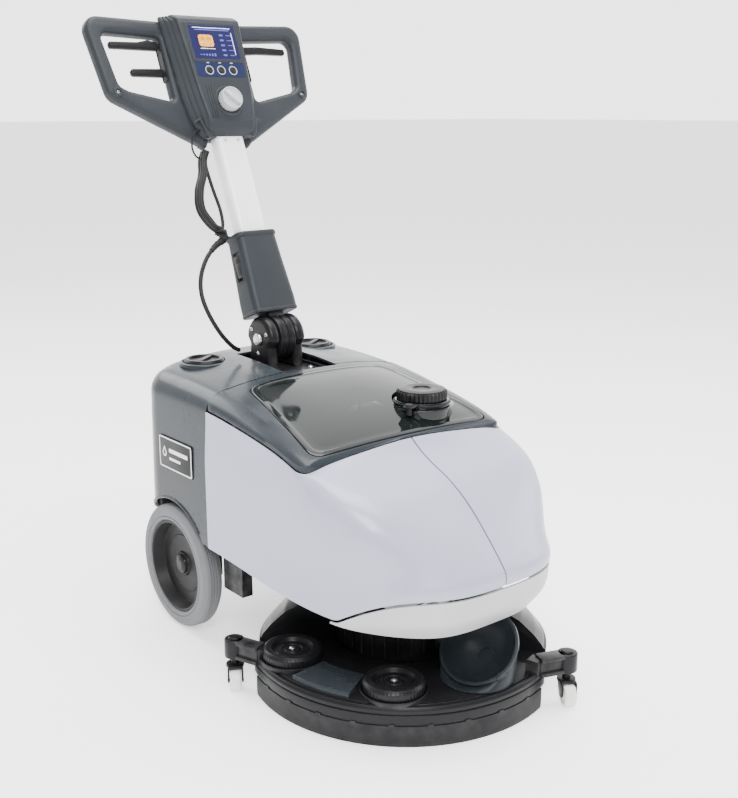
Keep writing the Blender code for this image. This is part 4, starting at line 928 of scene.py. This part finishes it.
def handle():
    for name, span in (("handle_front", (GRIP_Y + 0.0004, 0.05)),
            ("handle_back", (-0.05, GRIP_Y - 0.0004))):
        body = moved(slab(handle_outlines(), GRIP_HALF * 2, 0.0088, 5), shift(0, GRIP_Y, 0) @ TO_FACE)
        half = block((-0.25, span[0], 0.28), (0.25, span[1], 0.56))
        mesh = carved(body, [half, tube_socket(TUBE_HIGH + GAP)])
        fine(name, mesh, MAST, "handle", "handle_plastic", angle=30)
    back = GRIP_Y + GRIP_HALF
    spots = [MAST @ shift(sign * x, back - 0.0006, z) @ TO_BACK for sign in (-1, 1)
        for x, z in mm((186, 524), (173.5, 412), (100, 370.5))]
    screws("handle_screws", "handle", spots, 0.004)
    boss = lathe(mm((4, 0.4, 0), (4, 1.6, 0.4), (7.5, 1.6, 0.6), (9, -2, 0.4), (4, -2, 0))[::-1], 3, 32)
    face = GRIP_Y - GRIP_HALF
    seats = [shift(sign * BOSS_X, face, BOSS_Z) @ TO_FACE for sign in (-1, 1)]
    piece("handle_bosses", joined(*[moved(boss.copy(), seat) for seat in seats]), MAST, "handle",
        "handle_plastic")
    front = [MAST @ shift(sign * BOSS_X, face + 0.0014, BOSS_Z) @ TO_FACE for sign in (-1, 1)]
    screws("front_screws", "handle", front, 0.0036)


def on_face(x, z, proud=0.0):
    """A place on the console's face, with z pointing out of it."""
    return shift(x, -CONSOLE_FACE - proud, z) @ TO_FACE


CONSOLE_TABLE = np.array(mm((333, 43, 34, 16.5), (340, 49, 36, 26), (352, 56, 38, 32.5),
    (370, 62, 41, 34), (400, 67, 45, 34), (517, 73.5, 54, 34), (524, 74.2, 54.8, 33),
    (531, 74.5, 55.5, 26.2), (537.5, 74.5, 56, 18)))


def console_section(height):
    """The console's outline at a height: stepped flanks drawn in to a flat face."""
    base, face, depth = (np.interp(height, CONSOLE_TABLE[:, 0], CONSOLE_TABLE[:, k]) for k in (1, 2, 3))
    back = GRIP_Y - GRIP_HALF - GAP
    foot, top = Vector((base - 0.0006, back - 0.006)), Vector((face + 0.0042, -depth + 0.0036))
    flank = top - foot
    inward = Vector((-flank.y, flank.x)).normalized()
    if inward.x > 0:
        inward = -inward
    half = [Vector((base, back)), Vector((base, back - 0.0052))]
    for k in range(3):
        start, end = foot + flank * (k / 3), foot + flank * ((k + 1) / 3)
        half += [start, start + flank * 0.03, start + flank * 0.2 + inward * 0.0011, end - flank * 0.03
            + inward * 0.0017]
    half += [top, Vector((face + 0.0028, -depth + 0.0012)), Vector((face + 0.0012, -depth + 0.0002)),
        Vector((face - 0.001, -depth))]
    outline = [(p.x, p.y) for p in half]
    return [(x, y, height) for x, y in outline + [(-x, y) for x, y in outline[::-1]]]


def console():
    heights = np.r_[np.linspace(0.333, 0.352, 8), np.linspace(0.358, 0.515, 24),
        np.linspace(0.517, 0.5375, 10)]
    body = grid([console_section(z) for z in heights], ring=True, capped=True)
    cutters = [tube_socket(TUBE_HIGH + GAP), block((-0.0428, -0.05, LENS_Z - 0.0293),
        (0.0428, -CONSOLE_FACE + 0.0022, LENS_Z + 0.0293))]
    cutters += [cylinder(0.0062, -0.006, 0.006, on_face(k * BUTTON_STEP, BUTTON_Z), 32)
        for k in (-1, 0, 1)]
    fine("console_front", carved(body, cutters), MAST, "handle", "handle_plastic", angle=22)

    back = rounded(mm((-46, 340, 10), (-66, 385, 10), (-67, 528.5, 8), (67, 528.5, 8), (66, 385, 10),
        (46, 340, 10)), 5)
    y = GRIP_Y + GRIP_HALF + GAP + 0.006
    vents = [block((-0.03, y + 0.004, z - 0.0012), (0.03, y + 0.008, z + 0.0012))
        for z in np.linspace(0.405, 0.445, 6)]
    shell = moved(slab([back], 0.012, 0.0042, 4), shift(0, y, 0) @ TO_FACE)
    fine("console_back", carved(shell, vents), MAST, "handle", "handle_plastic", angle=30)
    spots = [MAST @ shift(sign * x, y + 0.0056, z) @ TO_BACK for sign in (-1, 1)
        for x, z in ((0.055, 0.515), (0.053, 0.392))]
    screws("console_screws", "handle", spots, 0.0036)

    bezel = slab([box_outline(0.095, 0.0685, 0.005, y=LENS_Z),
        box_outline(0.085, 0.058, 0.0022, y=LENS_Z)], 0.0016, 0.0006)
    lip = slab([mirrored(rounded(mm((0, 342.5, 0), (32.5, 341.5, 4), (40, 329, 3), (46.5, 336, 3),
        (54.5, 360, 4), (51, 362, 1), (43, 343, 3), (38.5, 348, 3), (0, 349, 0)), 4))], 0.006, 0.0014)
    ribs = [block((x - 0.0007, -CONSOLE_FACE - 0.001, 0.3575), (x + 0.0007, -CONSOLE_FACE + 0.001, 0.413),
        0.0004) for x in (-0.0345, -0.03, -0.0255)]
    collar = lathe(mm((19.5, -0.5, 0), (19.5, 1.2, 0.4), (23.5, 1.2, 0.8), (25, -0.5, 0))[::-1], 4, 64)
    trims = [moved(bezel, on_face(0, 0)), moved(lip, shift(0, -0.0185, 0) @ TO_FACE),
        moved(collar, on_face(0, KNOB_Z)), *ribs]
    piece("console_trim", joined(*trims), MAST, "handle", "handle_plastic")


def display():
    """The glass, with a lit window, plain rules and marks drawn as thin inlays; no lettering."""
    glass = moved(slab([box_outline(0.085, 0.058, 0.002)], 0.0025, 0.0005), on_face(0, LENS_Z, -0.00065))
    fine("display_lens", glass, MAST, "handle", "display_glass")
    front = MAST @ on_face(0, LENS_Z, 0.0006)

    def inlay(name, boxes, material):
        flats = [slab([box_outline(w, h, min(w, h) * 0.2, x, y, 2)], 0.0003) for x, y, w, h in boxes]
        piece(name, joined(*flats), front, "handle", material)

    rows = np.linspace(0.012, -0.022, 5)
    inlay("display_window", [(-0.015, 0.002, 0.027, 0.02)], "print_amber")
    inlay("display_digits", [(x, 0.002, 0.008, 0.0125) for x in (-0.0205, -0.0095)], "print_yellow")
    marks = [(0.0, 0.0205, 0.064, 0.0016)]
    marks += [(0.015, y, 0.007, 0.003) for y in rows] + [(0.029, y, 0.01, 0.0012) for y in rows]
    marks += [(x, -0.022, 0.003, 0.0016 + 0.0007 * k)
        for k, x in enumerate(np.linspace(-0.03, -0.004, 6))]
    inlay("display_marks", marks, "print_blue")
    inlay("display_rules", mm((0, 24, 70, 1), (-15, -11.5, 27, 1), (35, -2, 1, 38)), "print_white")
    holes = [circle_outline(0.0063, 32, k * BUTTON_STEP, BUTTON_Z - PANEL_Z) for k in (-1, 0, 1)]
    panel = slab([box_outline(0.09, 0.093, 0.004), *holes], 0.0008, 0.0002)
    piece("console_panel", panel, MAST @ on_face(0, PANEL_Z), "handle", "panel_blue")
    shapes = (([circle_outline(0.0075, 32), circle_outline(0.0064, 32)], 0),
        ([box_outline(0.005, 0.0012, 0.0004)], 0.0125))
    placed = [moved(slab(outlines, 0.0004), shift(k * BUTTON_STEP, y, 0)) for outlines, y in shapes
        for k in (-1, 0, 1)]
    piece("console_marks", joined(*placed), MAST @ on_face(0, BUTTON_Z, 0.0006), "handle", "grey_plastic")


def controls():
    place = MAST @ on_face(0, KNOB_Z)
    skirt = rounded([(0, 0.012, 0), (0.015, 0.012, 0.0008), (0.0168, 0.014, 0.0012),
        (0.0186, 0.0135, 0.0016), (0.019, 0.003, 0.0008), (0.019, GAP, 0), (0, GAP, 0)], 4)
    grip = rounded(mm((-4.2, -15, 3), (4.2, -15, 3), (3.4, 15.2, 3), (-3.4, 15.2, 3)), 4)
    bar = moved(slab([grip], 0.0075, 0.0016, 3), spin(48) @ shift(0, 0, 0.0138))
    fine("speed_knob", joined(turned(skirt, 144, ridges=24, ridge_depth=0.0007), bar), place,
        "speed_knob", "grey_plastic")
    line = moved(slab([box_outline(0.0012, 0.008, 0.0005)], 0.0004), spin(48) @ shift(0, 0.0095, 0.0177))
    piece("knob_pointer", line, place, "speed_knob", "print_white")
    for k, side in ((-1, "right"), (0, "middle"), (1, "left")):
        cap = rounded(mm((0, 1.4, 0), (3.4, 1.8, 0.6), (5.6, 1, 0.8), (5.8, -4, 0), (0, -4, 0)), 4)
        spot = MAST @ on_face(k * BUTTON_STEP, BUTTON_Z)
        fine("button_" + side, turned(cap, 40), spot, "button_" + side, "black_rubber")


def levers():
    """Paddles with a rounded spine; the right one has the hump over its root."""
    shapes = (
        ("lever_right", -1, 0.495, mm((0, -7, 3), (26, -6.6, 10), (85, -5.5, 4), (85, 5.5, 4),
                                      (36, 6, 20), (16, 10, 8), (0, 7, 4))),
        ("lever_left", 1, 0.493, mm((0, -7, 3), (30, -5, 20), (85, -5.5, 4), (85, 5, 4),
                                    (30, 7.8, 20), (0, 6.5, 4))),
        ("tilt_lever", -1, 0.45, mm((0, -7, 3), (58, -6, 5), (58, 6, 5), (0, 7, 4))))
    for name, sign, height, corners in shapes:
        outline = [(sign * x, y) for x, y in rounded(corners, 6)]
        paddle = slab([outline], 0.009, 0.0028, 4)
        place = MAST @ shift(sign * 0.08, GRIP_Y, height) @ TO_FACE
        fine(name, paddle, place, name, "black_plastic")
    slots = []
    for sign in (-1, 1):
        plate_mesh = slab([box_outline(0.017, 0.076, 0.004), box_outline(0.012, 0.07, 0.002)], 0.0012,
            0.0004)
        # Each frame's opening is filled by a thin black sheet set just behind it: painted shade standing for the
        # open slot that the paddle comes out of.
        dark = slab([box_outline(0.0125, 0.0705, 0.002)], 0.0006)
        turn = spin(sign * 90) @ TO_FACE
        for mesh, x in ((plate_mesh, 0.0788), (dark, 0.0785)):
            slots.append(moved(mesh, shift(sign * x, GRIP_Y, LEVER_SLOT_Z) @ turn))
    piece("lever_slots", joined(*slots), MAST, "handle", "black_plastic")


# ---- leads -----------------------------------------------------------------------------
UPPER_LEAD = mm((-44, 10, 316), (-53, 8, 302), (-62, 4, 277), (-78, 0, 248), (-83, 0, 218), (-69, 2, 192),
    (-50, 3, 178))
LOWER_LEAD = mm((-50, 3, 168), (-69, 3, 158), (-91, 2, 138), (-109, 0, 110), (-117, -3, 80),
    (-113, -4, 48), (-96, 4, 18), (-76, 14, -1), (-60, 22, -8))
INNER_LEAD = mm((-42, 12, 314), (-42, 14, 290), (-41, 12, 255), (-39.5, 8, 220), (-43, 5, 195),
    (-50, 3, 180))


def lead(name, route, radius, count, node=None):
    """A lead between two bodies, swept along its route as one fixed mesh that rides on no body."""
    path = [MAST @ Vector(p) for p in catmull(route, count)]
    obj = piece(name, hose(path, radius), Matrix(), None, "black_rubber")
    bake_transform(obj)
    if node:
        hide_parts(node)


def leads():
    lead("lead_upper", UPPER_LEAD, 0.0045, 40, "cable_upper")
    second = [(x - 0.001, y - 0.0085, z) for x, y, z in UPPER_LEAD[:-1]] + [(-0.052, -0.003, 0.183)]
    lead("lead_second", second, 0.004, 40)
    lead("lead_inner", INNER_LEAD, 0.0028, 40)
    third = [(x + 0.006, y - 0.004, z) for x, y, z in UPPER_LEAD[:-1]] + [(-0.049, 0.008, 0.183)]
    lead("lead_third", third, 0.0038, 40)
    loop = mm((-48, -8, 348), (-64, -10, 340), (-70, -4, 320), (-60, 4, 306), (-46, 8, 310))
    piece("console_wire", hose(catmull(loop, 30), 0.0016, 10), MAST, "handle", "black_rubber")
    lead("lead_lower", LOWER_LEAD, 0.0035, LOWER_STEPS, "cable_lower")
    relief = [MAST @ Vector(p) for p in catmull(LOWER_LEAD, LOWER_STEPS)[:9]]
    taper = [(0, 0.004), *[(i, 0.0064 - 0.00022 * i - 0.0006 * (i % 2)) for i in range(9)], (8, 0.0036)]
    piece("strain_relief", swept(relief, taper), Matrix(), "mast", "black_rubber")
    tie = [(0.0062 * cos(a), 0.0088 * sin(a), 0) for a in np.linspace(0, tau, 32)]
    knot = shift(-0.0545, 0.001, 0.179) @ spin(35, "Y")
    band = moved(hose(tie, 0.0024, 10), knot)
    hook = hose(catmull(mm((-30, 4, 170), (-40, 10, 174), (-50, 11, 178), (-60, 6, 179), (-62, -2, 176)),
        24), 0.0021, 10)
    plug = block((-0.056, -0.005, 0.1655), (-0.044, 0.0075, 0.1835), 0.0025)
    piece("lead_tie", joined(band, hook, plug), MAST, "mast", "black_rubber")


# ---- the turning deck ------------------------------------------------------------------
def deck_housing():
    """The hood over the brush, with a rolled lip and ribs across its open pocket."""
    profile = rounded([(0.048, 0.115, 0), (0.112, 0.115, 0.01), (0.146, 0.107, 0.02),
        (0.173, 0.093, 0.02), (0.194, 0.074, 0.015), (0.2055, 0.06, 0.004), (0.2075, 0.0555, 0.001),
        (DECK_R, 0.0535, 0.001), (DECK_R, 0.02, 0.001), (0.206, 0.02, 0), (0.206, 0.044, 0),
        (0.091, 0.044, 0), (0.087, 0.102, 0), (0.048, 0.102, 0)], 5)
    pocket = turned([(LEDGE_R, LEDGE_Z), (0.24, LEDGE_Z), (0.24, 0.13), (LEDGE_R, 0.13)], 60,
        POCKET_HALF_ANGLE)
    mesh = carved(turned(profile, 144), [pocket])
    ribs = []
    for angle in np.linspace(-66, 66, 13):
        rib = block((-0.0011, -LEDGE_R - 0.0022, LEDGE_Z + 0.01), (0.0011, -LEDGE_R + 0.001, 0.109),
            0.0006)
        ribs.append(moved(rib, spin(-angle)))
    fine("deck_housing", joined(mesh, *ribs), DECK, "deck", "black_plastic", angle=30)


def deck_wedge(inner, outer, low, high, start, end, radius=0.002):
    """A rounded block between two radii and two angles on the deck."""
    section = rounded([(inner, low, 0), (inner, high, radius), (outer, high, radius), (outer, low, 0)], 3)
    half = radians(end - start) / 2
    mesh = turned(section, 28, half)
    return moved(mesh, Matrix.Rotation(-radians(start + end) / 2, 4, "Z"))


def squeegee():
    """The curved band with its ridges, its plate, its arms and the eyes for the casters."""
    profile = rounded([(0.099, LEDGE_Z + GAP, 0), (0.099, PLATE_TOP, 0.001), (0.215, PLATE_TOP, 0.001),
        (0.216, PLATE_TOP - 0.003, 0.0004), (0.218, PLATE_TOP - 0.003, 0.0004),
        (0.219, PLATE_TOP + 0.0004, 0.0008), (0.2232, PLATE_TOP + 0.0004, 0.0018),
        (BAND_R, 0.052, 0.0018), (BAND_R, 0.048, 0.0006), (BAND_R - 0.002, 0.047, 0.0003),
        (BAND_R - 0.002, 0.0458, 0.0003), (BAND_R, 0.0448, 0.0006), (BAND_R, 0.0335, 0.0008),
        (BAND_R - 0.0016, 0.0325, 0.0003), (BAND_R - 0.0016, 0.03, 0.0004), (DECK_R + 0.0025, 0.03, 0),
        (DECK_R + 0.0025, LEDGE_Z + GAP, 0)], 3)
    band = turned(profile, 120, BAND_HALF_ANGLE)
    parts = [band]
    for sign in (1, -1):
        start = polar(0.22, sign * radians(61.5), ARM_MIDDLE)
        end = polar(CASTER_R, sign * CASTER_ANGLE, ARM_MIDDLE)
        run = end - start
        place = shift(*(start + end) / 2) @ Matrix.Rotation(atan2(run.y, run.x), 4, "Z")
        low, high, top = -run.length / 2, run.length / 2 - 0.0075, ARM_HEIGHT / 2
        for wide, bottom, ceiling in ((0.0075, -top + 0.001, top - 0.001), (0.011, -top, -top + 0.006),
                (0.011, top - 0.006, top)):
            parts.append(moved(block((low, -wide, bottom), (high, wide, ceiling), 0.0012), place))
        eye = lathe([(0.006, -ARM_HEIGHT / 2, 0.0006), (0.006, ARM_HEIGHT / 2, 0.0006),
            (0.0145, ARM_HEIGHT / 2, 0.002), (0.0145, -ARM_HEIGHT / 2, 0.002)][::-1], 4, 48)
        parts.append(moved(eye, shift(*end)))
        parts.append(deck_wedge(0.206, 0.2254, LEDGE_Z + GAP, 0.0735, *sorted((sign * 58.5, sign * 63.6)),
            radius=0.002))
    for angle in np.arange(-52, 53, 13):
        parts.append(deck_wedge(0.2245, 0.2266, 0.03, 0.0334, angle - 0.9, angle + 0.9, 0.0006))
    fine("squeegee_body", joined(*parts), DECK, "deck", "black_plastic", angle=32)
    collar = lathe(mm((44, 0, 0), (44, 6, 0.8), (46.4, 6, 0.8), (46.4, 0, 0))[::-1], 3, 72)
    seats = [moved(collar.copy(), shift(*polar(CLAMP_AT, radians(angle), PLATE_TOP)))
        for angle in CLAMP_ANGLES]
    piece("knob_seats", joined(*seats), DECK, "deck", "black_plastic")
    insert = [deck_wedge(0.154, 0.214, PLATE_TOP + 0.0002, 0.0635, 15.6, 40.4, 0.003)]
    piece("squeegee_insert", joined(*insert), DECK, "deck", "housing_plastic")
    blades = (("blade_front", 0.214, 0.003, 60), ("blade_rear", 0.2218, 0.0033, 0))
    for node, radius, thick, flutes in blades:
        top = 0.03 - GAP
        rows = []
        for k, angle in enumerate(np.linspace(-BAND_HALF_ANGLE + 0.03, BAND_HALF_ANGLE - 0.03, 241)):
            foot = 0.0022 if flutes and k % 4 < 2 else 0.0
            lean = 0.0006
            rows.append([(r * cos(angle - pi / 2), r * sin(angle - pi / 2), z)
                for r, z in ((radius + lean, foot), (radius, 0.006), (radius, top),
                (radius + thick, top), (radius + thick, 0.006), (radius + thick - lean, foot))])
        fine(node, grid(rows, ring=True, capped=True), DECK, "deck", "black_rubber", angle=40)


def clamp_knobs():
    """Round hand knobs: a dished top with a rim, ridges round the edge and a bright screw."""
    for name, angle in zip(("squeegee_knob_middle", "squeegee_knob_right"), CLAMP_ANGLES):
        place = DECK @ shift(*polar(CLAMP_AT, radians(angle), PLATE_TOP))
        profile = rounded([(0, 0.015, 0), (0.011, 0.0155, 0.002), (0.012, 0.014, 0.0004),
            (0.0135, 0.014, 0.0004), (0.0145, 0.0152, 0.0008), (0.023, 0.0142, 0.002),
            (0.0245, 0.013, 0.0005), (0.0262, 0.013, 0.0005), (0.029, 0.0188, 0.002),
            (0.038, 0.0196, 0.003), (CLAMP_R, 0.015, 0.002), (CLAMP_R, 0.0045, 0.001), (0.039, GAP, 0),
            (0, GAP, 0)], 5)
        fine(name, turned(profile, 216, ridges=54, ridge_depth=0.0006), place, name, "black_plastic",
            angle=28)
        screws(name + "_screw", name, [place @ shift(0, 0, 0.016)], 0.0042)


def suction_duct():
    """A turret that leans back on the squeegee, hollow like a scoop, with its lip, clip and neck."""
    foot, lean = polar(DUCT_AT, radians(DUCT_ANGLE)), Vector((-0.515, -0.857, 0))
    up = Vector((0, 0, 1))
    axis = lean * cos(DUCT_TILT) + up * sin(DUCT_TILT)
    down = lean * sin(DUCT_TILT) - up * cos(DUCT_TILT)
    across, rim = up.cross(lean), foot + up * DUCT_HEIGHT

    def ring(centre, toward, radius):
        return [tuple(centre + (toward * cos(a) + across * sin(a)) * radius) for a in all_round(96)]

    rows = [ring(foot + up * z, lean, radius) for radius, z in ((0.05, PLATE_TOP + GAP),
        (0.0518, PLATE_TOP + 0.0006), (0.052, PLATE_TOP + 0.002))]
    low, high = np.array(rows[-1]), np.array(ring(rim - axis * 0.0062, down, 0.0548))
    rows += [[tuple(p) for p in low + (high - low) * part] for part in (0.12, 0.3, 0.5, 0.7, 0.9, 1)]
    for radius, depth in mm((56.2, 5.6), (56.5, 4.6), (56.5, 1), (56.1, 0.3), (55.3, 0), (53, 0),
            (52.2, 0.4), (51.8, 1.2), (50, 4), (47, 9), (42, 15), (35, 21.5), (26, 28), (15, 31.5),
            (11.5, 32.5), (11, 34)):
        rows.append(ring(rim - axis * depth, down, radius))
    shell = grid(rows, ring=True, capped=True)
    ends = [polar(radius, radians(DUCT_ANGLE), 0.085) for radius in (0.117, 0.0985)]
    route = [ends[0].lerp(ends[1], part) for part in np.linspace(0, 1, 13)]
    ridges = [(index, 0.018 if index % 3 else 0.0168) for index in range(13)]
    neck = swept([tuple(p) for p in route], ridges, 48)
    clips = []
    for angle in (58, -122):
        a = radians(angle)
        spoke = down * cos(a) + across * sin(a)
        tangent = axis.cross(spoke)
        turn = Matrix((tangent, spoke, axis)).transposed().to_4x4()
        clips.append(moved(block((-0.007, -0.003, -0.0085), (0.007, 0.0022, 0.0012), 0.001),
            shift(*rim + spoke * 0.0555) @ turn))
    fine("suction_duct", joined(shell, neck, *clips), DECK, "deck", "duct_plastic", angle=40)


def casters():
    for side, sign in (("right", 1), ("left", -1)):
        place = (DECK @ shift(*polar(CASTER_R, sign * CASTER_ANGLE))
            @ Matrix.Rotation(-DECK_TURN + radians(150), 4, "Z"))
        stem = rounded(mm((0, 79, 0), (8, 79, 1.2), (9, 76.6, 0.3), (5.7, 76.6, 0), (5.7, 37.7, 0),
            (13, 37.7, 0.8), (13, 33.5, 1), (0, 33.5, 0)), 3)
        parts = [turned(stem, 40)]
        cheek = rounded([(-0.006, 0.035, 0.001), (CASTER_TRAIL + 0.006, 0.035, 0.003),
            (CASTER_TRAIL + 0.0062, 0.0125, 0.0055), (CASTER_TRAIL - 0.0062, 0.0125, 0.0055)], 5)
        for k in (-1, 1):
            side_mesh = slab([cheek], 0.0024, 0.0006)
            parts.append(moved(side_mesh, shift(k * 0.01, 0, 0) @ spin(90) @ TO_FACE))
        parts.append(block((-0.0104, -0.005, 0.0337), (0.0104, CASTER_TRAIL + 0.005, 0.037), 0.0008))
        parts.append(cylinder(0.0024, -0.0116, 0.0116, shift(0, CASTER_TRAIL, CASTER_WHEEL_R) @ TO_X, 20))
        fine("caster_fork_" + side, joined(*parts), place, "caster_fork_" + side, "black_plastic")
        r, w = CASTER_WHEEL_R, 0.0082
        rim = rounded(two_sided([(0.0028, w, 0), (0.006, w, 0.0006), (0.0066, w - 0.0018, 0.0004),
            (0.0115, w - 0.0018, 0.0006), (0.0122, w, 0.0006), (r - 0.0016, w, 0.0012),
            (r, w - 0.003, 0.0015)]), 3)
        wheel = place @ shift(0, CASTER_TRAIL, CASTER_WHEEL_R) @ TO_X
        fine("caster_wheel_" + side, turned(rim, 64), wheel, "caster_wheel_" + side, "caster_plastic")


def brush():
    """The pad and its driver, a plain turned disc, with the pad's frayed, woolly edge."""
    driver = rounded(mm((0, 65.5, 0), (20, 65.5, 2), (22, 42, 2), (178, 40, 2), (180, 30, 1), (0, 30, 0)),
        3)
    fine("pad_driver", turned(driver, 96), DECK, "brush", "black_plastic")
    rng = np.random.default_rng(4)
    rows = []
    for angle in all_round(240):
        ragged = PAD_R + rng.uniform(-0.0016, 0.0)
        rows.append([(r * cos(angle), r * sin(angle), z) for r, z in ((0.0, 0.0297),
            (ragged - 0.002, 0.0297), (ragged, 0.027), (ragged, 0.016), (ragged - 0.0012, 0.015),
            (ragged, 0.014), (ragged, 0.003), (ragged - 0.0025, 0.0), (0.0, 0.0))])
    fine("brush_pad", grid(rows, loop=True), DECK, "brush", "pad_fibre", angle=60)


# ---- the machine -----------------------------------------------------------------------
for part_side, part_sign in SIDES:
    rear_wheel(part_side, part_sign)
    cowl(part_side, part_sign)
chin()
rear_housing()
top_tray()
lid()
label()
ports()
filler()
mast_bracket()
knuckle()
sleeve()
mast_tube()
handle()
console()
display()
controls()
levers()
leads()
deck_housing()
squeegee()
clamp_knobs()
suction_duct()
casters()
brush()
